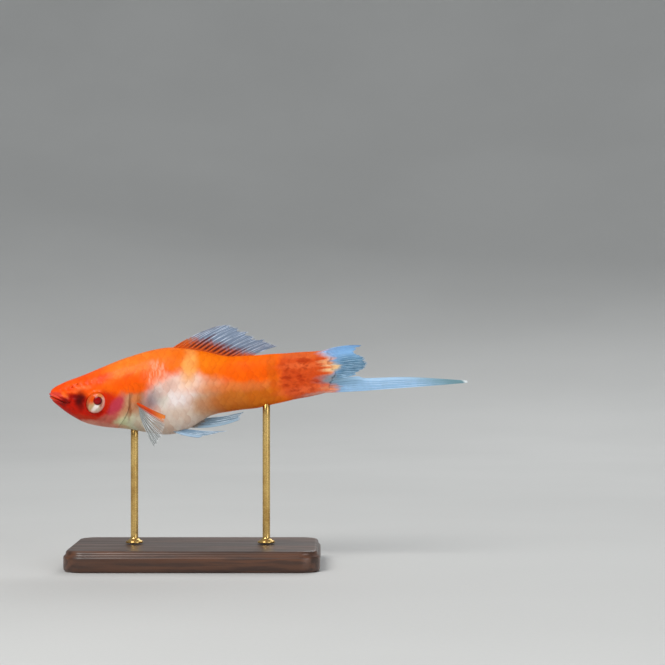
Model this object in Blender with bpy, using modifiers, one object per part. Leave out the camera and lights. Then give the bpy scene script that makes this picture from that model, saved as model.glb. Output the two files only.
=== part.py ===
# A male swordtail, life size, swimming with its head a little low, on a plain display stand.
# The fish is built in its own axes: x runs from the snout to the tail, y to its right side, z up.
# An empty at the snout then tips the whole fish and lifts it over the stand. All sizes are in metres.

import math

import bmesh
import bpy
import numpy as np
from mathutils import Vector

# How the fish is held: its pitch in the water, the height of its snout, and the cut between pieces.
BODY_PITCH = math.radians(4.7)
SNOUT_HEIGHT = 0.041
GAP = 0.0003
LEFT = Vector((0, -1, 0))

# The body from snout to tail: distance from the snout, height of the back, depth of the belly,
# half width, and how square the section is above and below its widest level (2 is an ellipse).
BODY_STATIONS = (
    (0.0000, 0.0002, -0.0007, 0.0008, 2.2, 2.0),
    (0.0004, 0.0010, -0.0017, 0.0015, 2.3, 2.0),
    (0.0016, 0.0018, -0.0030, 0.0022, 2.5, 2.0),
    (0.0042, 0.0028, -0.0053, 0.0030, 2.6, 2.0),
    (0.0078, 0.0038, -0.0076, 0.0039, 2.6, 2.0),
    (0.0122, 0.0052, -0.0090, 0.0047, 2.5, 2.0),
    (0.0180, 0.0070, -0.0100, 0.0051, 2.3, 2.1),
    (0.0240, 0.0083, -0.0115, 0.0052, 2.1, 2.2),
    (0.0285, 0.0088, -0.0121, 0.0051, 2.0, 2.2),
    (0.0330, 0.0084, -0.0108, 0.0047, 2.0, 2.1),
    (0.0378, 0.0072, -0.0085, 0.0041, 2.0, 2.0),
    (0.0430, 0.0057, -0.0077, 0.0034, 2.0, 2.0),
    (0.0500, 0.0053, -0.0074, 0.0027, 2.0, 2.0),
    (0.0580, 0.0052, -0.0062, 0.0019, 2.0, 2.0),
    (0.0640, 0.0051, -0.0055, 0.0011, 2.0, 2.0),
    (0.0668, 0.0050, -0.0052, 0.0005, 2.0, 2.0),
)
RINGS_PER_STATION = 4
RING_POINTS = 32

# Head: the eye, the line of the mouth, the nostrils and the gill cover.
EYE_AT = (0.0110, -0.0030)
EYE_RADIUS = 0.00245
EYE_HALF_DEPTH = 0.0017
EYE_SUNK = 0.0009
EYE_RIM_RADIUS = 0.00262
EYE_RIM_THICKNESS = 0.00032
EYE_RIM_POINTS = 28
MOUTH_FRONT = (0.0002, -0.0005)
MOUTH_CORNER = (0.0042, -0.0027)
JAW_BACK = (0.0066, -0.0100)
MOUTH_OPEN = (0.00020, 0.00028)
LIP_RADIUS = 0.00036
LIP_SUNK = 0.00018
LIP_POINTS = 21
MAXILLA_FROM = (0.0020, -0.0005)
MAXILLA_TO = (0.0047, -0.0020)
MAXILLA_RADIUS = 0.0005
MAXILLA_POINTS = 8
NOSTRILS = ((0.0058, 0.0013), (0.0071, 0.0019))
NOSTRIL_RADIUS = 0.0003
GILL_EDGE_X = 0.0195
GILL_EDGE_Z = -0.0025
GILL_EDGE_CURVE_ABOVE = 15.0
GILL_EDGE_CURVE_BELOW = 80.0
GILL_EDGE_POINTS = 28
GILL_COVER_OUTLINE = (
    (0.0150, -0.0020),
    (0.0152, 0.0006),
    (0.0168, 0.0020),
    (0.0188, 0.0018),
    (0.0203, -0.0002),
    (0.0203, -0.0040),
    (0.0190, -0.0078),
    (0.0165, -0.0083),
    (0.0148, -0.0064),
    (0.0146, -0.0044),
)
GILL_COVER_THICKNESS = 0.0011
GILL_COVER_RAISED = 0.00015
GILL_COVER_INNER_SIDE = 0.0005
CORE_ALONG = (0.010, 0.026)

# The cut between the torso and the tail stalk, just behind the vent, and a box that holds the body:
# x from the front to the back, z from the bottom to the top, y out to each side.
VENT_CUT_TOP = 0.0400
VENT_CUT_BOTTOM = 0.0372
REGION_X = (-0.010, 0.080)
REGION_Z = (-0.015, 0.012)
REGION_SIDE = 0.020

# Fins: thickness of a ray and of the skin between rays, and how deep each root is sunk.
RAY_THICKNESS = 0.0008
MEMBRANE_SHARE = 0.65
TIP_SHARE = 0.55
ROOT_SUNK = 0.0012
RAY_ROWS = 6
MARGIN_NOTCH = 0.06

# Dorsal fin: the stretch of the back it stands on, its free margin from front to back, and how
# far its rays bow forwards.
DORSAL_ROOT = (0.0288, 0.0466)
DORSAL_MARGIN = (
    (0.0412, 0.0129),
    (0.0440, 0.0131),
    (0.0470, 0.0119),
    (0.0502, 0.0101),
    (0.0530, 0.0085),
    (0.0553, 0.0070),
)
DORSAL_RAYS = 13
DORSAL_BOW = (0.0011, 0.0005)
DORSAL_WAVE = 0.0006
DORSAL_WAVES = 1.1

# Tail fin: the height its root spans at the end of the body, and its free margin from the top down.
TAIL_ROOT_X = 0.0668
TAIL_ROOT = (0.0047, -0.0017)
TAIL_MARGIN = (
    (0.0754, 0.0054),
    (0.0742, 0.0045),
    (0.0749, 0.0036),
    (0.0757, 0.0024),
    (0.0761, 0.0010),
    (0.0751, -0.0003),
    (0.0736, -0.0010),
    (0.0735, -0.0014),
)
TAIL_RAYS = 12
TAIL_BOW = 0.0011
TAIL_WAVE = 0.0004
TAIL_WAVES = 1.5

# Sword: the lowest tail rays, drawn out into a blade with this upper and lower edge.
SWORD_TOP = (
    (0.0655, -0.0022),
    (0.0735, -0.0019),
    (0.0760, -0.0025),
    (0.0864, -0.0031),
    (0.1000, -0.0050),
)
SWORD_BOTTOM = (
    (0.0655, -0.0050),
    (0.0735, -0.0053),
    (0.0800, -0.0054),
    (0.0900, -0.0055),
    (0.1002, -0.0055),
)
SWORD_RAYS = 5
SWORD_ROWS = 12
SWORD_THICKNESS = 0.0010
SWORD_SWAY = 0.0008

# Anal fin: the male's narrow blade, folded back under the body.
ANAL_ROOT = (0.0312, 0.0345)
ANAL_TIPS = ((0.0448, -0.0099), (0.0460, -0.0081))
ANAL_BOW = (-0.0019, -0.0006)
ANAL_RAYS = 5

# Pelvic fins: roots beside the middle of the belly. The left one is swept back along the body
# and the right one stands out. Tips are of the outermost and the innermost ray.
PELVIC_ROOT = (0.0283, 0.0300)
PELVIC_ROOT_SIDE = (0.0016, 0.0012)
PELVIC_BOW = -0.0007
PELVIC_RAYS = 5
PELVIC_TIPS = {
    "left": ((0.0350, -0.0036, -0.0132), (0.0418, -0.0022, -0.0122)),
    "right": ((0.0338, 0.0070, -0.0134), (0.0352, 0.0100, -0.0122)),
}

# Pectoral fins: roots just behind the gill covers. The left one is spread downwards and out, and
# the right one is folded further back. Tips are of the highest and the lowest ray.
PECTORAL_ROOT = ((0.0204, -0.0035), (0.0211, -0.0057))
PECTORAL_RAYS = 9
PECTORAL_BULGE = 0.0010
PECTORAL_BOW = (-0.0006, 0.0008)
PECTORAL_TIPS = {
    "left": ((0.0272, -0.0106, -0.0078), (0.0247, -0.0082, -0.0144)),
    "right": ((0.0298, 0.0088, -0.0030), (0.0280, 0.0082, -0.0102)),
}

# Stand: a flat base under the body and two slim rods with a foot.
BASE_LENGTH = 0.060
BASE_DEPTH = 0.036
BASE_HEIGHT = 0.005
BASE_CORNER = 0.005
BASE_EDGE = 0.0008
BASE_CENTRE_ALONG = 0.0350
ROD_RADIUS = 0.0009
ROD_FOOT_RADIUS = 0.0021
ROD_FOOT_HEIGHT = 0.0010
ROD_STEPS = 20
ROD_SUNK = 0.002
FRONT_ROD_ALONG = 0.0195
REAR_ROD_ALONG = 0.0515

COLOURS = {
    "red_skin": (0.86, 0.17, 0.03),
    "orange_skin": (0.92, 0.24, 0.02),
    "pale_skin": (0.75, 0.66, 0.55),
    "blue_fin": (0.50, 0.62, 0.75),
    "orange_fin": (0.80, 0.22, 0.05),
    "eye": (0.78, 0.68, 0.60),
    "dark_wood": (0.10, 0.05, 0.03),
    "brass": (0.76, 0.58, 0.26),
}


def clear_scene():
    for obj in list(bpy.data.objects):
        bpy.data.objects.remove(obj, do_unlink=True)


def material(name, roughness=0.4, metallic=0.0):
    made = bpy.data.materials.get(name) or bpy.data.materials.new(name)
    made.use_nodes = True
    shader = made.node_tree.nodes["Principled BSDF"]
    shader.inputs["Base Color"].default_value = (*COLOURS[name], 1.0)
    shader.inputs["Roughness"].default_value = roughness
    shader.inputs["Metallic"].default_value = metallic
    return made


def new_object(name, mesh, collection):
    obj = bpy.data.objects.new(name, mesh)
    collection.objects.link(obj)
    return obj


def mesh_from(name, build):
    mesh = bpy.data.meshes.new(name)
    shape = bmesh.new()
    build(shape)
    bmesh.ops.recalc_face_normals(shape, faces=shape.faces)
    shape.to_mesh(mesh)
    shape.free()
    return mesh


def frozen(obj):
    # Swap the object's mesh for the one its modifiers make.
    bpy.context.view_layer.update()
    graph = bpy.context.evaluated_depsgraph_get()
    mesh = bpy.data.meshes.new_from_object(obj.evaluated_get(graph))
    obj.modifiers.clear()
    obj.data = mesh
    return obj


def keep_largest(obj):
    # Of the closed surfaces in a mesh, only the one with the most volume stays.
    shape = bmesh.new()
    shape.from_mesh(obj.data)
    bmesh.ops.remove_doubles(shape, verts=shape.verts, dist=1e-7)
    left = set(shape.verts)
    groups = []
    while left:
        group = set()
        edge_of_group = [left.pop()]
        while edge_of_group:
            vert = edge_of_group.pop()
            group.add(vert)
            for edge in vert.link_edges:
                other = edge.other_vert(vert)
                if other in left:
                    left.discard(other)
                    edge_of_group.append(other)
        groups.append(group)

    def volume(group):
        total = 0.0
        for face in shape.faces:
            if face.verts[0] in group:
                first = face.verts[0].co
                for a, b in zip(face.verts[1:-1], face.verts[2:]):
                    total += first.dot(a.co.cross(b.co))
        return abs(total)

    groups.sort(key=volume, reverse=True)
    for group in groups[1:]:
        bmesh.ops.delete(shape, geom=list(group), context="VERTS")
    shape.to_mesh(obj.data)
    shape.free()
    return obj


def join_all(obj, pieces):
    # One union of the object with a collection of closed pieces, which are then removed.
    group = bpy.data.collections.new("pieces")
    bpy.context.scene.collection.children.link(group)
    for piece in pieces:
        for owner in list(piece.users_collection):
            owner.objects.unlink(piece)
        group.objects.link(piece)
    union = obj.modifiers.new("join", "BOOLEAN")
    union.operation = "UNION"
    union.operand_type = "COLLECTION"
    union.collection = group
    frozen(obj)
    for piece in pieces:
        bpy.data.objects.remove(piece, do_unlink=True)
    bpy.data.collections.remove(group)
    return keep_largest(obj)


def cut(obj, cutter, operation="DIFFERENCE"):
    boolean = obj.modifiers.new("cut", "BOOLEAN")
    boolean.operation = operation
    boolean.object = cutter
    frozen(obj)
    return keep_largest(obj)


def between(ends, share):
    # A number or a point at a share of the way between two ends.
    first, last = ends
    if isinstance(first, tuple):
        return Vector(first).lerp(Vector(last), share)
    return first + (last - first) * share


def shares(count):
    return [i / (count - 1) for i in range(count)]


def smooth_rows(rows, share):
    # A point on the smooth curve through the rows, at a share of the way from the first to the last.
    rows = np.asarray(rows, float)
    place = share * (len(rows) - 1)
    start = min(int(place), len(rows) - 2)
    t = place - start
    a, b = rows[start], rows[start + 1]
    before = rows[start - 1] if start > 0 else 2 * a - b
    after = rows[start + 2] if start + 2 < len(rows) else 2 * b - a
    slope_a, slope_b = (b - before) / 2, (after - a) / 2
    return (
        (2 * t**3 - 3 * t**2 + 1) * a
        + (t**3 - 2 * t**2 + t) * slope_a
        + (3 * t**2 - 2 * t**3) * b
        + (t**3 - t**2) * slope_b
    )


RING_COUNT = (len(BODY_STATIONS) - 1) * RINGS_PER_STATION + 1
RINGS = np.array([smooth_rows(BODY_STATIONS, share) for share in shares(RING_COUNT)])


def section(along):
    # Back, belly, half width and the two squareness values at a distance from the snout.
    return [float(np.interp(along, RINGS[:, 0], RINGS[:, i])) for i in range(1, 6)]


def back_height(along):
    return section(along)[0]


def belly_height(along):
    return section(along)[1]


def flank(along, height):
    # Half width of the body at a distance from the snout and a height.
    back, belly, half_width, square_above, square_below = section(along)
    middle = (back + belly) / 2
    reach = back - middle if height > middle else middle - belly
    square = square_above if height > middle else square_below
    share = min(abs(height - middle) / reach, 1.0)
    return half_width * (1 - share**square) ** (1 / square)


def flank_normal(along, height, side):
    # The direction straight out of the flank, for side -1 (left) or 1 (right).
    step = 0.0004
    slope_along = (flank(along + step, height) - flank(along - step, height)) / (2 * step)
    slope_up = (flank(along, height + step) - flank(along, height - step)) / (2 * step)
    return Vector((-slope_along, side, -slope_up)).normalized()


def ring_points(ring):
    along, back, belly, half_width, square_above, square_below = ring
    middle = (back + belly) / 2
    points = []
    for i in range(RING_POINTS):
        angle = 2 * math.pi * (i + 0.5) / RING_POINTS
        side, up = math.cos(angle), math.sin(angle)
        square = square_above if up > 0 else square_below
        reach = back - middle if up > 0 else middle - belly
        y = math.copysign(half_width * abs(side) ** (2 / square), side)
        z = middle + math.copysign(reach * abs(up) ** (2 / square), up)
        points.append(Vector((along, y, z)))
    return points


def loft(name, rings, collection, grow=0.0):
    # A closed skin through the rings, grown along its normals.
    def build(shape):
        loops = [[shape.verts.new(p) for p in ring_points(ring)] for ring in rings]
        for near, far in zip(loops[:-1], loops[1:]):
            for i in range(RING_POINTS):
                j = (i + 1) % RING_POINTS
                shape.faces.new((near[i], near[j], far[j], far[i]))
        shape.faces.new(loops[0])
        shape.faces.new(loops[-1])
        bmesh.ops.recalc_face_normals(shape, faces=shape.faces)
        shape.normal_update()
        moves = [(vert, vert.normal * grow) for vert in shape.verts]
        for vert, move in moves:
            vert.co += move

    return new_object(name, mesh_from(name, build), collection)


def body_core(name, depth, collection):
    # The stretch of body behind the gill covers, with its flanks moved in by a depth.
    inner = RINGS[(RINGS[:, 0] > CORE_ALONG[0]) & (RINGS[:, 0] < CORE_ALONG[1])]
    return loft(name, inner - np.array([0, depth, -depth, depth, 0, 0]), collection)


def slab(name, outline, reach, collection):
    # A flat outline in x and z, extruded across the fish over a reach in y.
    y_low, y_high = reach
    data = bpy.data.curves.new(name, "CURVE")
    data.dimensions = "2D"
    data.fill_mode = "BOTH"
    data.extrude = (y_high - y_low) / 2
    spline = data.splines.new("POLY")
    spline.points.add(len(outline) - 1)
    for point, (x, z) in zip(spline.points, outline):
        point.co = (x, z, 0, 1)
    spline.use_cyclic_u = True
    curve = new_object(name + "_outline", data, collection)
    curve.rotation_euler = (math.pi / 2, 0, 0)
    curve.location = (0, (y_low + y_high) / 2, 0)
    return mesh_of_curve(curve, name, collection)


def tube(name, points, radius, collection, closed=False, end_share=1.0):
    # A round bar along a line, either a closed ring or thinner towards its ends.
    data = bpy.data.curves.new(name, "CURVE")
    data.dimensions = "3D"
    data.bevel_depth = radius
    data.bevel_resolution = 2
    data.use_fill_caps = True
    spline = data.splines.new("POLY")
    spline.points.add(len(points) - 1)
    spline.use_cyclic_u = closed
    for point, place, share in zip(spline.points, points, shares(len(points))):
        middle = max(math.sin(math.pi * share), 0.0)
        point.co = (*place, 1)
        point.radius = end_share + (1 - end_share) * math.sqrt(middle)
    curve = new_object(name + "_path", data, collection)
    return mesh_of_curve(curve, name, collection)


def mesh_of_curve(curve, name, collection):
    bpy.context.view_layer.update()
    graph = bpy.context.evaluated_depsgraph_get()
    mesh = bpy.data.meshes.new_from_object(curve.evaluated_get(graph))
    mesh.transform(curve.matrix_world)
    shape = bmesh.new()
    shape.from_mesh(mesh)
    bmesh.ops.remove_doubles(shape, verts=shape.verts, dist=1e-6)
    bmesh.ops.recalc_face_normals(shape, faces=shape.faces)
    shape.to_mesh(mesh)
    shape.free()
    bpy.data.objects.remove(curve, do_unlink=True)
    return new_object(name, mesh, collection)


def ball(name, centre, radii, collection, outward=LEFT, segments=24, rings=14):
    # A ball or a flattened one: its last radius is along the outward direction.
    def build(shape):
        bmesh.ops.create_uvsphere(shape, u_segments=segments, v_segments=rings, radius=1.0)
        bmesh.ops.scale(shape, verts=shape.verts, vec=radii)

    obj = new_object(name, mesh_from(name, build), collection)
    obj.data.transform(turned_to(outward, centre))
    return obj


def turned_to(direction, centre):
    # A matrix that turns z to a direction and moves the origin to a centre.
    matrix = direction.to_track_quat("Z", "X").to_matrix().to_4x4()
    matrix.translation = centre
    return matrix


def on_flank(along, height, side):
    return Vector((along, side * flank(along, height), height))


def eye_rim_points(side):
    # A ring round the eye that lies in the skin of the head.
    points = []
    for i in range(EYE_RIM_POINTS):
        angle = 2 * math.pi * i / EYE_RIM_POINTS
        along = EYE_AT[0] + EYE_RIM_RADIUS * math.cos(angle)
        height = EYE_AT[1] + EYE_RIM_RADIUS * math.sin(angle)
        points.append(on_flank(along, height, side))
    return points


def eye_ball(name, side, grow, collection):
    outward = flank_normal(*EYE_AT, side)
    centre = on_flank(*EYE_AT, side) - outward * EYE_SUNK
    radii = (EYE_RADIUS + grow, EYE_RADIUS + grow, EYE_HALF_DEPTH + grow)
    return ball(name, centre, radii, collection, outward)


def mouth_height(along):
    (x0, z0), (x1, z1) = MOUTH_FRONT, MOUTH_CORNER
    return z0 + (z1 - z0) * (along - x0) / (x1 - x0)


def lip_path(shift):
    # Along one edge of the mouth, from its left corner round the snout to its right corner.
    along = np.linspace(0, MOUTH_CORNER[0], 60)
    height = mouth_height(along) + shift
    inside = [section(a)[1] < h < section(a)[0] for a, h in zip(along, height)]
    along, height = along[inside], height[inside]
    out = np.array([flank(a, h) for a, h in zip(along, height)])
    out[0] = 0.0
    inward = np.array([MOUTH_CORNER[0] - along, -out]).T
    inward *= LIP_SUNK / np.linalg.norm(inward, axis=1)[:, None]
    line = np.array([along + inward[:, 0], out + inward[:, 1], height]).T
    line = np.vstack([line[::-1] * (1, -1, 1), line[1:]])
    travel = np.concatenate([[0], np.cumsum(np.linalg.norm(np.diff(line, axis=0), axis=1))])
    steps = np.linspace(0, travel[-1], LIP_POINTS)
    return [Vector([np.interp(step, travel, line[:, i]) for i in range(3)]) for step in steps]


def maxilla_points(side):
    # The fold of the upper jaw above the corner of the mouth.
    points = []
    for share in shares(MAXILLA_POINTS):
        along, height = between((MAXILLA_FROM, MAXILLA_TO), share)
        points.append(on_flank(along, height, side) - Vector((0, side * MAXILLA_RADIUS / 2, 0)))
    return points


def gill_edge(height):
    rise = height - GILL_EDGE_Z
    curve = GILL_EDGE_CURVE_ABOVE if rise > 0 else GILL_EDGE_CURVE_BELOW
    return GILL_EDGE_X - curve * rise * rise


def gill_edge_points(shift):
    heights = np.linspace(REGION_Z[1], REGION_Z[0], GILL_EDGE_POINTS)
    return [(gill_edge(h) + shift, h) for h in heights]


def gill_cover_outline(grow=0.0):
    # The gill cover's outline as a smooth closed line, moved outwards for the space it lies in.
    points = GILL_COVER_OUTLINE[-2:] + GILL_COVER_OUTLINE + GILL_COVER_OUTLINE[:2]
    steps = 5
    count = len(GILL_COVER_OUTLINE) * steps
    line = [smooth_rows(points, (2 + i / steps) / (len(points) - 1)) for i in range(count)]
    centre = np.mean(line, axis=0)
    return [point + (point - centre) / np.linalg.norm(point - centre) * grow for point in line]


def jaw_outline(shift=(0.0, 0.0)):
    front = REGION_X[0]
    outline = [(front, mouth_height(front)), MOUTH_CORNER, JAW_BACK, (front, REGION_Z[0])]
    return [(x + shift[0], z + shift[1]) for x, z in outline]


def whole_body(helpers):
    # The body in one, with its lips, the folds of the upper jaw and the rims of the eyes.
    whole = loft("whole", RINGS, helpers)
    lip_middle = LIP_RADIUS + GAP / 2
    raised = [
        tube("upper_lip", lip_path(lip_middle), LIP_RADIUS, helpers, end_share=0.4),
        tube("lower_lip", lip_path(-lip_middle), LIP_RADIUS, helpers, end_share=0.4),
    ]
    for side in (-1, 1):
        rim = tube("eye_rim", eye_rim_points(side), EYE_RIM_THICKNESS, helpers, closed=True)
        fold = tube("maxilla", maxilla_points(side), MAXILLA_RADIUS, helpers, end_share=0.3)
        raised += [rim, fold]
    return join_all(whole, raised)


def make_flesh(parts, helpers):
    # The whole body is parted into head, jaw, torso and tail stalk by thin cuts.
    whole = whole_body(helpers)
    front, back = REGION_X
    bottom, top = REGION_Z
    both_sides = (-REGION_SIDE, REGION_SIDE)
    head_outline = gill_edge_points(-GAP / 2) + [(front, bottom), (front, top)]
    torso_outline = gill_edge_points(GAP / 2)
    torso_outline += [(VENT_CUT_BOTTOM - GAP / 2, bottom), (VENT_CUT_TOP - GAP / 2, top)]
    stalk_outline = [(VENT_CUT_TOP + GAP / 2, top), (VENT_CUT_BOTTOM + GAP / 2, bottom)]
    stalk_outline += [(back, bottom), (back, top)]

    def piece(name, outline, source, colour):
        made = new_object(name, source.data.copy(), parts)
        cut(made, slab(name + "_area", outline, both_sides, helpers), "INTERSECT")
        made.data.materials.clear()
        made.data.materials.append(material(colour))
        return made

    head = piece("head", head_outline, whole, "red_skin")
    piece("lower_jaw", jaw_outline(), head, "red_skin")
    piece("torso", torso_outline, whole, "pale_skin")
    piece("tail_stalk", stalk_outline, whole, "orange_skin")
    cut(head, slab("jaw_space", jaw_outline(MOUTH_OPEN), both_sides, helpers))

    core = body_core("core", GILL_COVER_THICKNESS, helpers)
    deeper_core = body_core("deeper_core", GILL_COVER_THICKNESS + GAP, helpers)
    for side, word in ((-1, "left"), (1, "right")):
        one_side = sorted((side * GILL_COVER_INNER_SIDE, side * REGION_SIDE))
        cover = loft("gill_cover_" + word, RINGS, parts, GILL_COVER_RAISED)
        cut(cover, slab("plate", gill_cover_outline(), one_side, helpers), "INTERSECT")
        cut(cover, slab("plate_back", head_outline, one_side, helpers), "INTERSECT")
        cut(cover, core)
        cover.data.materials.append(material("red_skin"))
        pocket = slab("pocket", gill_cover_outline(GAP), one_side, helpers)
        cut(head, cut(pocket, deeper_core))
        cut(head, eye_ball("socket_" + word, side, GAP, helpers))
        for place in NOSTRILS:
            size = (NOSTRIL_RADIUS, NOSTRIL_RADIUS, NOSTRIL_RADIUS)
            cut(head, ball("nostril", on_flank(*place, side), size, helpers, segments=10, rings=6))


def make_eyes(parts):
    for side, word in ((-1, "left"), (1, "right")):
        eye = eye_ball("eye_" + word, side, 0.0, parts)
        eye.data.materials.append(material("eye", 0.15))


def ridged_sheet(name, grid, weights, thickness, colour, parts, cutter):
    # A thin sheet from columns of points, thicker where a weight is higher, with its root cut clear.
    mesh = bpy.data.meshes.new(name)
    shape = bmesh.new()
    columns = [[shape.verts.new(point) for point in column] for column in grid]
    for near, far in zip(columns[:-1], columns[1:]):
        for row in range(len(near) - 1):
            shape.faces.new((near[row], near[row + 1], far[row + 1]))
            shape.faces.new((near[row], far[row + 1], far[row]))
    shape.to_mesh(mesh)
    shape.free()
    obj = new_object(name, mesh, parts)
    group = obj.vertex_groups.new(name="thickness")
    for i, weight in enumerate(weights):
        group.add([i], weight, "REPLACE")
    shell = obj.modifiers.new("shell", "SOLIDIFY")
    shell.thickness = thickness
    shell.offset = 0.0
    shell.vertex_group = "thickness"
    frozen(obj)
    cut(obj, cutter)
    obj.data.materials.clear()
    obj.data.materials.append(material(colour, 0.3))
    return obj


def fin(name, rays, colour, parts, cutter):
    # Each ray is a root, a bend and a tip, and makes a ridge with thinner skin on both sides of it.
    columns = []
    for ray, following in zip(rays, rays[1:] + [None]):
        columns.append((*ray, 1.0))
        if following:
            root, bend, tip = ((Vector(a) + Vector(b)) / 2 for a, b in zip(ray, following))
            columns.append((root, bend, tip.lerp(root, MARGIN_NOTCH), MEMBRANE_SHARE))
    grid = []
    weights = []
    for root, bend, tip, weight in columns:
        column = []
        for t in shares(RAY_ROWS + 1):
            column.append((1 - t) ** 2 * Vector(root) + 2 * t * (1 - t) * Vector(bend) + t * t * Vector(tip))
            weights.append(weight * (1 - t * (1 - TIP_SHARE)) if t > 0.7 else weight)
        grid.append(column)
    return ridged_sheet(name, grid, weights, RAY_THICKNESS, colour, parts, cutter)


def sword(parts, cutter):
    # The blade narrows to a point, with ridges along it for its rays.
    grid = []
    weights = []
    for column, down in enumerate(shares(2 * SWORD_RAYS - 1)):
        ridge = MEMBRANE_SHARE if column % 2 else 1.0
        line = []
        for t in shares(SWORD_ROWS + 1):
            top, bottom = smooth_rows(SWORD_TOP, t), smooth_rows(SWORD_BOTTOM, t)
            x, z = top + (bottom - top) * down
            line.append(Vector((x, SWORD_SWAY * math.sin(math.pi * 0.9 * t) * t, z)))
            weights.append(ridge * (1 - t / 2))
        grid.append(line)
    return ridged_sheet("sword", grid, weights, SWORD_THICKNESS, "blue_fin", parts, cutter)


def dorsal_rays():
    rays = []
    for share in shares(DORSAL_RAYS):
        along = between(DORSAL_ROOT, share)
        root = Vector((along, 0, back_height(along) - ROOT_SUNK))
        x, z = smooth_rows(DORSAL_MARGIN, share)
        tip = Vector((x, DORSAL_WAVE * math.sin(2 * math.pi * DORSAL_WAVES * share), z))
        bend = (root + tip) / 2 + Vector((-0.4, 0, 1)) * between(DORSAL_BOW, share)
        bend.y = 0
        rays.append((root, bend, tip))
    return rays


def tail_rays():
    rays = []
    for share in shares(TAIL_RAYS):
        root = Vector((TAIL_ROOT_X - ROOT_SUNK, 0, between(TAIL_ROOT, share)))
        x, z = smooth_rows(TAIL_MARGIN, share)
        tip = Vector((x, TAIL_WAVE * math.sin(2 * math.pi * TAIL_WAVES * share), z))
        bend = (root + tip) / 2
        bend.y = 0
        bend.z += TAIL_BOW * (1 - share) ** 2
        rays.append((root, bend, tip))
    return rays


def anal_rays():
    rays = []
    low, high = ((x, 0, z) for x, z in ANAL_TIPS)
    for share in shares(ANAL_RAYS):
        along = between(ANAL_ROOT, share)
        root = Vector((along, 0, belly_height(along) + ROOT_SUNK))
        tip = between((low, high), share)
        bend = (root + tip) / 2 + Vector((0, 0, between(ANAL_BOW, share)))
        rays.append((root, bend, tip))
    return rays


def pelvic_rays(word):
    side = -1 if word == "left" else 1
    rays = []
    for share in shares(PELVIC_RAYS):
        along = between(PELVIC_ROOT, share)
        out = side * between(PELVIC_ROOT_SIDE, share)
        root = Vector((along, out, belly_height(along) + ROOT_SUNK))
        tip = between(PELVIC_TIPS[word], share)
        bend = (root + tip) / 2 + Vector((0, 0, PELVIC_BOW))
        rays.append((root, bend, tip))
    return rays


def pectoral_rays(word):
    side = -1 if word == "left" else 1
    rays = []
    for share in shares(PECTORAL_RAYS):
        along, height = between(PECTORAL_ROOT, share)
        surface = on_flank(along, height, side)
        root = surface - flank_normal(along, height, side) * ROOT_SUNK
        tip = between(PECTORAL_TIPS[word], share)
        tip += (tip - surface).normalized() * PECTORAL_BULGE * math.sin(math.pi * share)
        bend = (root + tip) / 2 + Vector((PECTORAL_BOW[0], side * PECTORAL_BOW[1], 0))
        rays.append((root, bend, tip))
    return rays


def make_fins(parts, grown_body):
    fin("dorsal_fin", dorsal_rays(), "orange_fin", parts, grown_body)
    fin("tail_fin", tail_rays(), "blue_fin", parts, grown_body)
    sword(parts, grown_body)
    fin("anal_fin", anal_rays(), "blue_fin", parts, grown_body)
    for word in ("left", "right"):
        fin("pelvic_fin_" + word, pelvic_rays(word), "blue_fin", parts, grown_body)
        fin("pectoral_fin_" + word, pectoral_rays(word), "orange_fin", parts, grown_body)


def make_base(stand, along):
    def build(shape):
        bmesh.ops.create_cube(shape, size=1.0)
        bmesh.ops.scale(shape, verts=shape.verts, vec=(BASE_LENGTH, BASE_DEPTH, BASE_HEIGHT))
        upright = [e for e in shape.edges if abs(e.verts[0].co.z - e.verts[1].co.z) > BASE_HEIGHT / 2]
        bmesh.ops.bevel(
            shape, geom=upright, offset=BASE_CORNER, segments=6, profile=0.5, affect="EDGES"
        )
        top = [e for e in shape.edges if min(v.co.z for v in e.verts) > BASE_HEIGHT / 2 - 1e-6]
        bmesh.ops.bevel(shape, geom=top, offset=BASE_EDGE, segments=3, profile=0.5, affect="EDGES")

    base = new_object("stand_base", mesh_from("stand_base", build), stand)
    base.location = (along, 0, BASE_HEIGHT / 2)
    base.data.materials.append(material("dark_wood", 0.35))
    return base


def make_rod(name, stand, along, top, cutter):
    # A turned rod with a flat foot, its upper end shaped to the belly it holds.
    profile = (
        (0.0, top),
        (ROD_RADIUS, top),
        (ROD_RADIUS, ROD_FOOT_HEIGHT),
        (ROD_FOOT_RADIUS * 0.8, ROD_FOOT_HEIGHT),
        (ROD_FOOT_RADIUS, ROD_FOOT_HEIGHT * 0.6),
        (ROD_FOOT_RADIUS, 0.0),
        (0.0, 0.0),
    )
    mesh = bpy.data.meshes.new(name)
    mesh.from_pydata([(r, 0, z) for r, z in profile], [(i, i + 1) for i in range(len(profile) - 1)], [])
    rod = new_object(name, mesh, stand)
    rod.location = (along, 0, BASE_HEIGHT + GAP)
    screw = rod.modifiers.new("turn", "SCREW")
    screw.steps = screw.render_steps = ROD_STEPS
    screw.use_merge_vertices = True
    screw.merge_threshold = 1e-5
    frozen(rod)
    cut(rod, cutter)
    rod.data.materials.append(material("brass", 0.25, 1.0))
    return rod


def fish_to_world(carrier, along, height):
    return carrier.matrix_world @ Vector((along, 0, height))


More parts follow.
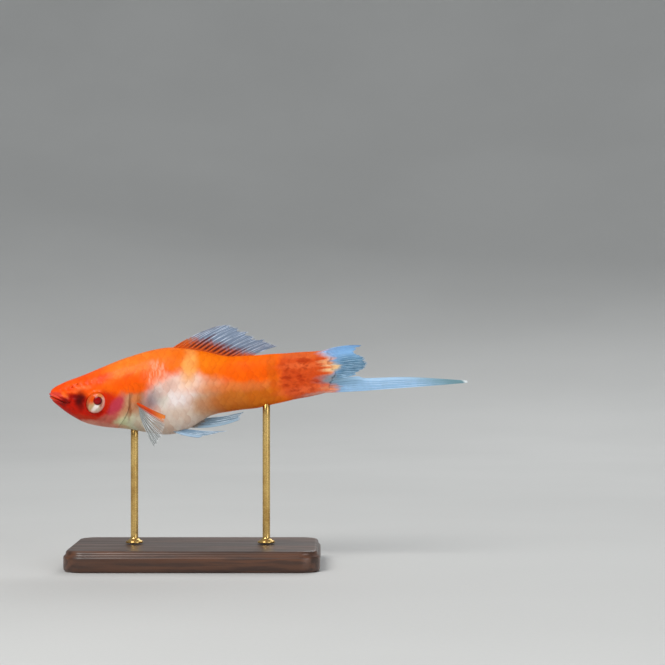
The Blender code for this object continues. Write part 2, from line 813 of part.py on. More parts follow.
def main():
    clear_scene()
    parts = bpy.data.collections.new("swordtail")
    helpers = bpy.data.collections.new("cutters")
    bpy.context.scene.collection.children.link(parts)
    bpy.context.scene.collection.children.link(helpers)

    make_flesh(parts, helpers)
    make_eyes(parts)
    grown_body = loft("grown_body", RINGS, helpers, GAP)
    make_fins(parts, grown_body)

    carrier = bpy.data.objects.new("swordtail_carrier", None)
    parts.objects.link(carrier)
    carrier.rotation_euler = (0, -BODY_PITCH, 0)
    carrier.location = (0, 0, SNOUT_HEIGHT)
    for obj in list(parts.objects) + [grown_body]:
        if obj != carrier:
            obj.parent = carrier
    bpy.context.view_layer.update()

    # The model is centred on its own length, which runs from the lips to the sword's tip.
    reach = [(o.matrix_world @ v.co).x for o in parts.objects if o.type == "MESH" for v in o.data.vertices]
    carrier.location.x = -(min(reach) + max(reach)) / 2
    bpy.context.view_layer.update()

    make_base(parts, fish_to_world(carrier, BASE_CENTRE_ALONG, 0).x)
    for name, along in (("stand_rod_front", FRONT_ROD_ALONG), ("stand_rod_rear", REAR_ROD_ALONG)):
        belly = fish_to_world(carrier, along, belly_height(along))
        top = belly.z + ROD_SUNK - BASE_HEIGHT
        make_rod(name, parts, belly.x, top, grown_body)

    for obj in parts.objects:
        if obj.type == "MESH" and obj.name != "stand_base":
            obj.data.shade_smooth()
            obj.data.set_sharp_from_angle(angle=math.radians(40))
    for obj in helpers.objects:
        obj.hide_render = True
        obj.display_type = "WIRE"


main()
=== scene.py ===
import math

import bpy
import numpy as np
from mathutils import Matrix, Vector


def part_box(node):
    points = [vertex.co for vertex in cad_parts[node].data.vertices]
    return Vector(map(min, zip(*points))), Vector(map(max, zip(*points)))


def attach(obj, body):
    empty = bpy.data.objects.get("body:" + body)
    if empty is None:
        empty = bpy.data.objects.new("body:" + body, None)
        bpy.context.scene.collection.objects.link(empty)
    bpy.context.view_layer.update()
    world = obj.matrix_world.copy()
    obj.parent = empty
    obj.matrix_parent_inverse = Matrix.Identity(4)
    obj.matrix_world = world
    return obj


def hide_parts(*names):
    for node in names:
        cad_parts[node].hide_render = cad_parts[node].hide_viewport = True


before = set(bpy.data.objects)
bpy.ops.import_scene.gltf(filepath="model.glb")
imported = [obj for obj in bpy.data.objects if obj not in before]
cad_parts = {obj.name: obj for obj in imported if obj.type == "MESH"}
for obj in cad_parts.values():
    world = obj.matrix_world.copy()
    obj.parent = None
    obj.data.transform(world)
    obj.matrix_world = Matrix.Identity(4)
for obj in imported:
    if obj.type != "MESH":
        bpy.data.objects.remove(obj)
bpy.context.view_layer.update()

# The fish is worked in its own axes, in millimetres: s from snout to tail, y to its right, h up.
fishPose = {"pitch": math.radians(4.7), "snoutHeight": 41.0, "baseAlong": 35.0}
baseLow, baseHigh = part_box("stand_base")
snoutX = 500 * (baseLow.x + baseHigh.x) - fishPose["baseAlong"] * math.cos(fishPose["pitch"])
snoutPlace = (snoutX / 1000, 0.0, fishPose["snoutHeight"] / 1000)
random = np.random.default_rng(11)


def toWorld(points):
    # From the fish's millimetres to the model's metres.
    points = np.asarray(points, float)
    s, y, h = points[..., 0], points[..., 1], points[..., 2]
    c, d = math.cos(fishPose["pitch"]), math.sin(fishPose["pitch"])
    x = snoutPlace[0] + (s * c - h * d) / 1000
    z = snoutPlace[2] + (s * d + h * c) / 1000
    return np.stack([x, y / 1000, z], axis=-1)


def tone(red, green, blue):
    # A colour as seen on screen, 0 to 255, turned into linear light.
    return tuple(((c / 255 + 0.055) / 1.055) ** 2.4 for c in (red, green, blue)) + (1.0,)


def ramp(low, high, value):
    t = np.clip((value - low) / (high - low), 0, 1)
    return t * t * (3 - 2 * t)


def hump(distance, width):
    return np.exp(-((distance / width) ** 2))


def smoothRows(rows, share):
    # Points on the smooth curve through the rows, at shares of the way along it.
    rows = np.asarray(rows, float)
    place = np.clip(np.asarray(share, float), 0, 1) * (len(rows) - 1)
    start = np.minimum(place.astype(int), len(rows) - 2)
    t = (place - start)[..., None]
    padded = np.vstack([2 * rows[0] - rows[1], rows, 2 * rows[-1] - rows[-2]])
    before, a, b, after = (padded[start + k] for k in range(4))
    slopeA, slopeB = (b - before) / 2, (after - a) / 2
    return (
        (2 * t**3 - 3 * t**2 + 1) * a
        + (t**3 - 2 * t**2 + t) * slopeA
        + (3 * t**2 - 2 * t**3) * b
        + (t**3 - t**2) * slopeB
    )


def between(ends, share):
    first, last = np.asarray(ends[0], float), np.asarray(ends[1], float)
    share = np.asarray(share, float)
    return first + (last - first) * (share[..., None] if first.ndim else share)


def newPiece(name, points, faces, edges=(), place=toWorld):
    mesh = bpy.data.meshes.new(name)
    mesh.from_pydata(place(points).tolist(), edges, faces)
    mesh.shade_smooth()
    piece = bpy.data.objects.new(name, mesh)
    bpy.context.scene.collection.objects.link(piece)
    return piece


def bandFaces(first, rings, turns, flipped=False):
    # The faces between rings of points that follow one another, with as many points as turns.
    faces = []
    for near in range(first, first + (rings - 1) * turns, turns):
        for k in range(turns):
            after = (k + 1) % turns
            a, b, c, d = near + k, near + turns + k, near + turns + after, near + after
            faces.append((a, d, c, b) if flipped else (a, b, c, d))
    return faces


def giveValues(piece, name, values, kind="FLOAT"):
    # A named value at every point of a piece.
    values = np.asarray(values, np.float32)
    attribute = piece.data.attributes.new(name, kind, "POINT")
    attribute.data.foreach_set("value" if kind == "FLOAT" else "vector", values.ravel())


def giveUv(piece, name, pointUv):
    # A UV map from one pair of numbers per point.
    layer = piece.data.uv_layers.new(name=name)
    corner = np.empty(len(piece.data.loops), np.int32)
    piece.data.loops.foreach_get("vertex_index", corner)
    layer.data.foreach_set("uv", np.asarray(pointUv, np.float32)[corner].ravel())


def frozen(piece):
    # Swaps a piece's mesh for what its modifiers make.
    bpy.context.view_layer.update()
    graph = bpy.context.evaluated_depsgraph_get()
    made = bpy.data.meshes.new_from_object(
        piece.evaluated_get(graph), preserve_all_data_layers=True, depsgraph=graph
    )
    piece.modifiers.clear()
    piece.data = made
    return piece


def finished(piece, material, slot, *nodes):
    piece.data.materials.clear()
    piece.data.materials.append(material)
    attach(piece, "root")
    if nodes:
        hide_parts(*nodes)
    return piece


class Wiring:
    # Short calls that add nodes to a tree and join them up.
    def __init__(self, tree):
        self.tree = tree

    def put(self, kind, inputs=None, **settings):
        node = self.tree.nodes.new(kind)
        for name, value in settings.items():
            setattr(node, name, value)
        for socket, value in (inputs or {}).items():
            self.feed(node.inputs[socket], value)
        return node

    def feed(self, socket, value):
        if isinstance(value, bpy.types.Node):
            value = value.outputs[0]
        if isinstance(value, bpy.types.NodeSocket):
            self.tree.links.new(value, socket)
        else:
            socket.default_value = value

    def math(self, operation, a, b=0.0, clamp=False):
        node = self.put("ShaderNodeMath", {0: a, 1: b}, operation=operation, use_clamp=clamp)
        return node.outputs[0]

    def times(self, *values):
        product = values[0]
        for value in values[1:]:
            product = self.math("MULTIPLY", product, value)
        return product

    def blend(self, factor, a, b, way="MIX"):
        node = self.put("ShaderNodeMix", {0: factor, 6: a, 7: b}, data_type="RGBA", blend_type=way)
        return node.outputs[2]

    def tinted(self, colour, red, green, blue):
        return self.blend(1.0, colour, (red, green, blue, 1.0), "MULTIPLY")

    def spread(self, value, low, high, start=0.0, end=1.0):
        # A smooth rise from one number to another as the value goes from low to high.
        wires = {"Value": value, "From Min": low, "From Max": high, "To Min": start, "To Max": end}
        return self.put("ShaderNodeMapRange", wires, interpolation_type="SMOOTHSTEP").outputs[0]

    def noise(self, vector, scale, detail=2.0, roughness=0.5, colour=False):
        wires = {"Vector": vector, "Scale": scale, "Detail": detail, "Roughness": roughness}
        return self.put("ShaderNodeTexNoise", wires).outputs["Color" if colour else "Fac"]

    def given(self, name, output="Fac"):
        # A value that the piece carries at its points.
        return self.put("ShaderNodeAttribute", attribute_name=name).outputs[output]

    def parts(self, vector):
        return self.put("ShaderNodeSeparateXYZ", {0: vector}).outputs

    def stretched(self, vector, factors):
        return self.put("ShaderNodeVectorMath", {0: vector, 1: factors}, operation="MULTIPLY").outputs[0]

    def length(self, vector):
        return self.put("ShaderNodeVectorMath", {0: vector}, operation="LENGTH").outputs["Value"]

    def shifted(self, vector, by, amount):
        # The vector, moved by a noise colour of mean one half.
        centred = self.put("ShaderNodeVectorMath", {0: by, 1: (0.5, 0.5, 0.5)}, operation="SUBTRACT")
        scaled = self.put("ShaderNodeVectorMath", {0: centred, "Scale": amount}, operation="SCALE")
        return self.put("ShaderNodeVectorMath", {0: vector, 1: scaled}, operation="ADD").outputs[0]

    def fishAxes(self):
        # Object coordinates in the fish's own millimetres.
        place = self.put("ShaderNodeTexCoord").outputs["Object"]
        wires = {
            "Vector": place,
            "Location": snoutPlace,
            "Rotation": (0.0, -fishPose["pitch"], 0.0),
            "Scale": (0.001, 0.001, 0.001),
        }
        return self.put("ShaderNodeMapping", wires, vector_type="TEXTURE").outputs[0]

    def patch(self, vector, middle, size, turn=0.0, soft=0.4):
        # One inside an ellipse on the side of the fish, falling softly to nothing outside it.
        wires = {
            "Vector": vector,
            "Location": (middle[0], 0.0, middle[1]),
            "Rotation": (0.0, -math.radians(turn), 0.0),
            "Scale": (size[0], 1e5, size[1]),
        }
        placed = self.put("ShaderNodeMapping", wires, vector_type="TEXTURE")
        return self.spread(self.length(placed), 1 - soft, 1 + soft, 1.0, 0.0)

    def painted(self, colour, vector, table):
        # The patches of a table laid over a colour, one after the other.
        for name, shown, middle, size, turn, soft, strength in table:
            mask = self.times(self.patch(vector, middle, size, turn, soft), strength)
            colour = self.blend(mask, colour, tone(*shown))
        return colour

    def finish(self, shader, colour, rough, height, strength, depth):
        # Colour, roughness and bumps of a material; depth is the bumps' height in metres.
        self.feed(shader.inputs["Base Color"], colour)
        if rough is not None:
            self.feed(shader.inputs["Roughness"], rough)
        wires = {"Height": height, "Strength": strength, "Distance": depth}
        self.feed(shader.inputs["Normal"], self.put("ShaderNodeBump", wires))


def newMaterial(name, **sockets):
    material = bpy.data.materials.new(name)
    material.use_nodes = True
    shader = material.node_tree.nodes["Principled BSDF"]
    for socket, value in sockets.items():
        shader.inputs[socket.replace("_", " ")].default_value = value
    return material, shader, Wiring(material.node_tree)


studio = {
    "viewCentre": (67.8, 55.76),  # mm behind the snout and above the floor
    "frameWidth": 0.1596,
    "distance": 0.5,
    "floorTones": ((208, 209, 208), (203, 204, 203)),
    "floorRadius": 0.5,
    "coveRadius": 1.2,
    "skyStrength": 0.34,
    "lights": (
        # name, place, width, power, colour
        ("keyLight", (-0.35, -0.55, 0.60), 0.45, 5.4, (1.0, 0.98, 0.95)),
        ("fillLight", (0.55, -0.60, 0.25), 0.50, 1.6, (0.94, 0.97, 1.0)),
        ("backLight", (0.20, 0.60, 0.55), 0.45, 1.9, (1.0, 1.0, 1.0)),
    ),
}


def areaLight(name, place, width, power, colour):
    data = bpy.data.lights.new(name, "AREA")
    data.shape = "DISK"
    data.size = width
    data.energy = power
    data.color = colour
    light = bpy.data.objects.new(name, data)
    bpy.context.scene.collection.objects.link(light)
    light.location = place
    light.rotation_euler = (Vector((0, 0, 0.04)) - light.location).to_track_quat("-Z", "Y").to_euler()


def makeStudio():
    scene = bpy.context.scene
    scene.view_settings.view_transform = "Standard"
    camera = bpy.data.objects.new("photoCamera", bpy.data.cameras.new("photoCamera"))
    scene.collection.objects.link(camera)
    scene.camera = camera
    camera.data.lens = camera.data.sensor_width * studio["distance"] / studio["frameWidth"]
    camera.data.clip_start = 0.01
    camera.location = (
        (snoutX + studio["viewCentre"][0]) / 1000,
        -studio["distance"],
        studio["viewCentre"][1] / 1000,
    )
    camera.rotation_euler = (math.pi / 2, 0, 0)

    # The floor is a wide dish, so that it meets its own backdrop on every side.
    flat, cove = studio["floorRadius"], studio["coveRadius"]
    sweep = [(r, 0.0) for r in np.linspace(0.02, flat, 10)]
    sweep += [(flat + cove * math.sin(a), cove - cove * math.cos(a)) for a in np.linspace(0.08, 1.5, 20)]
    turns = 96
    points = [(0, 0, 0)]
    for radius, height in sweep:
        for k in range(turns):
            angle = 2 * math.pi * k / turns
            points.append((radius * math.cos(angle), radius * math.sin(angle), height))
    faces = [(0, 1 + k, 1 + (k + 1) % turns) for k in range(turns)] + bandFaces(1, len(sweep), turns)
    floor = newPiece("studioFloor", points, faces, place=np.asarray)
    paper, shader, wiring = newMaterial("paleFloor")
    place = wiring.put("ShaderNodeTexCoord").outputs["Object"]
    cloud = wiring.spread(wiring.noise(place, 6.0, 3.0), 0.3, 0.7)
    fibre = wiring.noise(place, 900.0, 2.0)
    pale, dull = studio["floorTones"]
    colour = wiring.blend(cloud, tone(*pale), tone(*dull))
    wiring.finish(shader, colour, wiring.spread(fibre, 0.3, 0.7, 0.74, 0.86), fibre, 0.1, 0.00005)
    floor.data.materials.append(paper)

    for light in studio["lights"]:
        areaLight(*light)
    world = bpy.data.worlds.new("paleRoom")
    scene.world = world
    world.use_nodes = True
    sky = world.node_tree.nodes["Background"]
    sky.inputs["Color"].default_value = (0.90, 0.93, 0.96, 1.0)
    sky.inputs["Strength"].default_value = studio["skyStrength"]
    print("studio ready")


makeStudio()


bodyForm = {
    # distance from the snout, back, belly, half width, squareness above and below the middle
    "stations": (
        (0.0, 0.2, -0.7, 0.8, 2.2, 2.0),
        (0.4, 1.0, -1.7, 1.5, 2.3, 2.0),
        (1.6, 1.8, -3.0, 2.2, 2.5, 2.0),
        (4.2, 2.8, -5.3, 3.0, 2.6, 2.0),
        (7.8, 3.8, -7.6, 3.9, 2.6, 2.0),
        (12.2, 5.2, -9.0, 4.7, 2.5, 2.0),
        (18.0, 7.0, -10.0, 5.1, 2.3, 2.1),
        (24.0, 8.3, -11.5, 5.2, 2.1, 2.2),
        (28.5, 8.8, -12.1, 5.1, 2.0, 2.2),
        (33.0, 8.4, -10.8, 4.7, 2.0, 2.1),
        (37.8, 7.2, -8.5, 4.1, 2.0, 2.0),
        (43.0, 5.7, -7.7, 3.4, 2.0, 2.0),
        (50.0, 5.3, -7.4, 2.7, 2.0, 2.0),
        (58.0, 5.2, -6.2, 1.9, 2.0, 2.0),
        (64.0, 5.1, -5.5, 1.1, 2.0, 2.0),
        (66.8, 5.0, -5.2, 0.5, 2.0, 2.0),
    ),
    "coatDepth": 0.10,  # how far the skin lies under the tips of the scales
    "headLength": 20.6,  # the stretch with fine rings
    "headSteps": (0.060, 0.095),
    "bodyStep": 0.30,
    "headPoints": 280,
    "snoutCap": 0.12,
    "tailCap": 0.25,
}
bodyTable = smoothRows(bodyForm["stations"], np.linspace(0, 1, 901))


def profile(along):
    # Back, belly, half width and the two squareness values at distances from the snout.
    return [np.interp(along, bodyTable[:, 0], bodyTable[:, i]) for i in range(1, 6)]


def sectionPoint(along, angle):
    # A point of the plain body: angle is a quarter turn at the back and minus that at the belly.
    back, belly, halfWidth, above, below = profile(along)
    middle = (back + belly) / 2
    side, up = np.cos(angle), np.sin(angle)
    square = np.where(up > 0, above, below)
    reach = np.where(up > 0, back - middle, middle - belly)
    y = np.copysign(halfWidth * np.abs(side) ** (2 / square), side)
    h = middle + np.copysign(reach * np.abs(up) ** (2 / square), up)
    return np.stack(np.broadcast_arrays(along, y, h), axis=-1)


def sectionNormal(along, angle):
    step = 0.05
    forward = sectionPoint(along + step, angle) - sectionPoint(along - step, angle)
    around = sectionPoint(along, angle - 0.004) - sectionPoint(along, angle + 0.004)
    normal = np.cross(forward, around)
    return normal / np.maximum(np.linalg.norm(normal, axis=-1, keepdims=True), 1e-12)


def flankWidth(along, height):
    # Half width of the plain body at a height.
    back, belly, halfWidth, above, below = profile(along)
    middle = (back + belly) / 2
    square = np.where(height > middle, above, below)
    reach = np.where(height > middle, back - middle, middle - belly)
    share = np.minimum(np.abs(height - middle) / reach, 1.0)
    return halfWidth * (1 - share**square) ** (1 / square)


def flankNormal(along, height, side):
    # Straight out of the plain body at a place on its side: 1 is the right side and -1 the left.
    step = 0.4
    slopeAlong = (flankWidth(along + step, height) - flankWidth(along - step, height)) / (2 * step)
    slopeUp = (flankWidth(along, height + step) - flankWidth(along, height - step)) / (2 * step)
    normal = np.stack([-slopeAlong, 0 * along + side, -slopeUp], axis=-1)
    return normal / np.linalg.norm(normal, axis=-1, keepdims=True)


# Places are pairs: distance behind the snout and height, in the fish's own millimetres.
headForm = {
    "mouthFront": (0.2, -0.5),
    "mouthCorner": (4.2, -2.7),
    "lipHeight": 0.20,
    "slitDepth": 0.34,
    "maxilla": ((2.0, -0.5), (3.4, -0.95), (4.7, -1.9)),
    "nostrils": ((5.8, 1.3), (7.1, 1.9)),
    "eye": (11.2, -3.0),
    "eyeOpening": (2.56, 2.14),  # half its length and half its width
    "eyeTilt": 55.0,
    "socketDepth": 1.0,
    "gillEdge": (19.5, -2.5, 0.015, 0.080),  # furthest back, its height, curve above and below
    "gillRaised": 0.20,
    "cheekLine": ((13.6, 0.6), (14.6, -1.8), (14.5, -4.8), (12.9, -7.2), (9.6, -7.3), (7.2, -6.3)),
    "snoutLine": ((4.9, -1.3), (6.4, -1.15), (7.7, -1.7), (7.7, -3.4), (8.5, -5.4)),
    "chinLine": ((4.5, -3.0), (5.4, -4.0), (6.0, -5.2)),
    "pores": ((8.2, 2.6), (9.8, 1.9), (11.6, 1.6), (13.2, 1.9), (14.9, 1.2), (4.4, 1.4), (9.0, -6.2)),
}


def chainDistance(s, h, chain):
    # Distance to a chain of points, and how far along the chain the nearest place is, 0 to 1.
    chain = smoothRows(chain, np.linspace(0, 1, 6 * len(chain)))
    best = np.full(s.shape, 1e9)
    share = np.zeros(s.shape)
    for k, (a, b) in enumerate(zip(chain[:-1], chain[1:])):
        run = b - a
        t = np.clip(((s - a[0]) * run[0] + (h - a[1]) * run[1]) / (run @ run), 0, 1)
        away = np.hypot(s - a[0] - t * run[0], h - a[1] - t * run[1])
        nearer = away < best
        best = np.where(nearer, away, best)
        share = np.where(nearer, (k + t) / (len(chain) - 1), share)
    return best, share


def eyeDistance(a, b, halves):
    # Distance from the eye's middle, measured so that its tilted oval is a circle of its mean radius.
    turn = math.radians(headForm["eyeTilt"])
    p, q = a * math.cos(turn) + b * math.sin(turn), b * math.cos(turn) - a * math.sin(turn)
    return np.hypot(p / halves[0], q / halves[1]) * sum(halves) / 2


def gillEdge(h):
    edge, level, above, below = headForm["gillEdge"]
    return edge - np.where(h > level, above, below) * (h - level) ** 2


def headRelief(s, h, sideways):
    # How far the head's forms lift or sink the skin, and how deep in shade each place lies.
    shade = np.zeros(s.shape)
    front, corner = np.array(headForm["mouthFront"]), np.array(headForm["mouthCorner"])
    run = (corner - front) / np.linalg.norm(corner - front)
    along = (s - front[0]) * run[0] + (h - front[1]) * run[1]
    above = -(s - front[0]) * run[1] + (h - front[1]) * run[0]
    length = np.linalg.norm(corner - front)
    parting = 1 - ramp(length - 0.5, length + 0.05, along)
    lips = 1 - ramp(length - 1.6, length + 0.2, along)
    slit = hump(above, 0.085) * parting
    lift = -headForm["slitDepth"] * slit
    lift += headForm["lipHeight"] * hump(above - 0.36, 0.22) * lips
    lift += headForm["lipHeight"] * 0.9 * hump(above + 0.34, 0.20) * lips
    lift -= 0.09 * hump(above - 0.78, 0.13) * lips
    lift -= 0.09 * hump(above + 0.76, 0.14) * lips
    shade = np.maximum(shade, 0.62 * hump(above, 0.15) * parting)

    away, share = chainDistance(s, h, headForm["maxilla"])
    fold = np.clip(1 - (away / (0.34 + 0.24 * share)) ** 2, 0, 1) ** 0.8
    lift += 0.24 * fold * ramp(0.0, 0.25, share)
    lift -= 0.08 * hump(away - 0.66, 0.10) * ramp(0.3, 0.7, share) * (s > 3.2)

    for place in headForm["nostrils"]:
        away = np.hypot((s - place[0]) * 0.8, (h - place[1]) * 1.25)
        lift += (0.018 * hump(away - 0.42, 0.18) - 0.22 * hump(away, 0.17)) * sideways
        shade = np.maximum(shade, 0.6 * hump(away, 0.20) * sideways)
    for place in headForm["pores"]:
        away = np.hypot(s - place[0], h - place[1])
        lift -= 0.035 * hump(away, 0.10) * sideways
        shade = np.maximum(shade, 0.25 * hump(away, 0.11) * sideways)

    eyeS, eyeH = headForm["eye"]
    away = eyeDistance(s - eyeS, h - eyeH, headForm["eyeOpening"])
    opening = sum(headForm["eyeOpening"]) / 2
    cup = 1 - ramp(opening - 0.12, opening + 0.08, away)
    lift = lift * (1 - cup) - headForm["socketDepth"] * cup
    lift += 0.11 * hump(away - opening - 0.26, 0.22)
    lift -= 0.04 * hump(away - opening - 0.85, 0.28)
    shade = np.maximum(shade, 0.9 * cup)

    creases = (("snoutLine", 0.16, 0.40), ("cheekLine", 0.06, 0.42), ("chinLine", 0.06, 0.20))
    for name, depth, width in creases:
        away, share = chainDistance(s, h, headForm[name])
        fade = ramp(0.0, 0.15, share) * (1 - ramp(0.8, 1.0, share)) * sideways
        lift -= depth * hump(away, width) * fade
        shade = np.maximum(shade, 0.12 * hump(away, width) * fade)

    behind = s - gillEdge(h)
    present = (1 - ramp(-2.4, 1.6, h)) * ramp(0.1, 0.35, sideways)
    step = ramp(-0.03, 0.09, behind)
    lift += headForm["gillRaised"] * np.exp(np.minimum(behind, 0) / 0.9) * (1 - step) * present
    lift -= 0.14 * np.exp(-np.maximum(behind, 0) / 0.55) * step * present
    shade = np.maximum(shade, 0.5 * hump(behind - 0.14, 0.20) * present)
    # The uneven flesh over the bones of the brow and jaw.
    lumps = np.sin(2.3 * s + 1.4 * h) * np.sin(1.7 * s - 2.6 * h + 0.8)
    lumps = lumps + 0.6 * np.sin(4.1 * s + 3.3 * h + 2.0)
    lift += 0.030 * lumps * ramp(1.0, 4.0, s) * (1 - ramp(13.0, 17.0, s)) * (1 - cup) * sideways
    return lift, shade


def skinSurface(along, angle, shrink, towards, withHead=True):
    # The finished skin at rings and angles; shrink draws a ring in to close the body's two ends.
    plain = sectionPoint(along, angle)
    normal = sectionNormal(along, angle)
    middle = plain.mean(axis=1, keepdims=True)
    ends = np.sqrt(1 - shrink**2) * towards
    normal = normal * shrink[..., None] + np.stack([ends, 0 * ends, 0 * ends], axis=-1)
    normal /= np.linalg.norm(normal, axis=-1, keepdims=True)
    plain = middle + (plain - middle) * shrink[..., None]
    plain[..., 0] = along
    cap = np.where(towards < 0, bodyForm["snoutCap"], bodyForm["tailCap"])
    plain[..., 0] += ends * cap
    s, h = plain[..., 0], plain[..., 2]
    lift, shade = headRelief(s, h, ramp(0.15, 0.55, np.abs(normal[..., 1])))
    lift = lift * withHead
    # Soft unevenness of living flesh: the muscle behind the gills, the flank's shallow middle line.
    swell = 0.05 * np.sin(s * 0.37 + 1.1) * np.sin(h * 0.41 + 0.6) + 0.03 * np.sin(s * 0.9 + h * 0.7)
    lift += swell * ramp(18, 26, s) - 0.06 * hump(h + 0.5, 0.7) * ramp(21, 30, s) * (1 - ramp(60, 66, s))
    lift -= bodyForm["coatDepth"]
    return plain + normal * lift[..., None], shade


def makeSkin():
    headEnd = bodyForm["headLength"]
    fine, coarse = bodyForm["headSteps"]
    headRings = np.concatenate([np.arange(0, 6, fine), np.arange(6, headEnd, coarse)])
    bodyRings = np.arange(headEnd + 0.12, bodyForm["stations"][-1][0], bodyForm["bodyStep"])
    capTurns = np.linspace(0.12, 1.0, 9)[:-1] * math.pi / 2
    points = bodyForm["headPoints"]

    def rings(along, shrink, towards, count):
        angle = math.pi / 2 - 2 * math.pi * np.arange(count) / count
        grid = np.ones((len(along), count))
        surface, shade = skinSurface(
            along[:, None] * grid, angle[None, :] * grid, shrink[:, None] * grid, towards[:, None] * grid
        )
        return surface.reshape(-1, 3), shade.ravel()

    headAlong = np.concatenate([0 * capTurns, headRings])
    headShrink = np.concatenate([np.sin(capTurns), 1 + 0 * headRings])
    bodyAlong = np.concatenate([bodyRings, 0 * capTurns + bodyForm["stations"][-1][0]])
    bodyShrink = np.concatenate([1 + 0 * bodyRings, np.sin(capTurns)[::-1]])
    head, headShade = rings(headAlong, headShrink, -1 + 0 * headAlong, points)
    body, bodyShade = rings(bodyAlong, bodyShrink, 1 + 0 * bodyAlong, points // 2)
    snout, tail = head[:points].mean(axis=0), body[-points // 2:].mean(axis=0)
    vertices = np.vstack([head, body, snout, tail])
    shade = np.concatenate([headShade, bodyShade, [0.0, 0.0]])

    faces = bandFaces(0, len(headAlong), points) + bandFaces(len(head), len(bodyAlong), points // 2)
    # Two points of the last fine ring meet one of the first wide ring.
    near, far, half = len(head) - points, len(head), points // 2
    for k in range(half):
        a, b, c = near + 2 * k, near + 2 * k + 1, near + (2 * k + 2) % points
        p, q = far + k, far + (k + 1) % half
        faces += [(a, p, b), (b, p, q), (b, q, c)]
    first, last = len(vertices) - 2, len(head) + len(body) - half
    faces += [(first, k, (k + 1) % points) for k in range(points)]
    faces += [(last + k, len(vertices) - 1, last + (k + 1) % half) for k in range(half)]

    skin = newPiece("skin", vertices, faces)
    giveValues(skin, "shade", shade)
    print("skin:", len(faces), "faces")
    return skin


def makeScaleBed():
    # What the body scales lie on: the skin without the gill cover, so that their fronts run under it.
    # Behind the flesh it thins out over the root of the tail fin.
    along = np.arange(14.0, 70.0, 0.4)
    turns = 120
    angle = math.pi / 2 - 2 * math.pi * np.arange(turns) / turns
    grid = np.ones((len(along), turns))
    fleshEnd = bodyForm["stations"][-1][0]
    kept = np.minimum(along, fleshEnd)[:, None] * grid
    surface = skinSurface(kept, angle[None, :] * grid, grid, grid, False)[0]
    surface[..., 0] += np.maximum(along - fleshEnd, 0)[:, None]
    surface[..., 1] *= 1 - 0.7 * ramp(fleshEnd, 69.5, along)[:, None]
    bed = newPiece("scaleBed", surface.reshape(-1, 3), bandFaces(0, len(along), turns))
    bpy.context.scene.collection.objects.unlink(bed)
    return bed


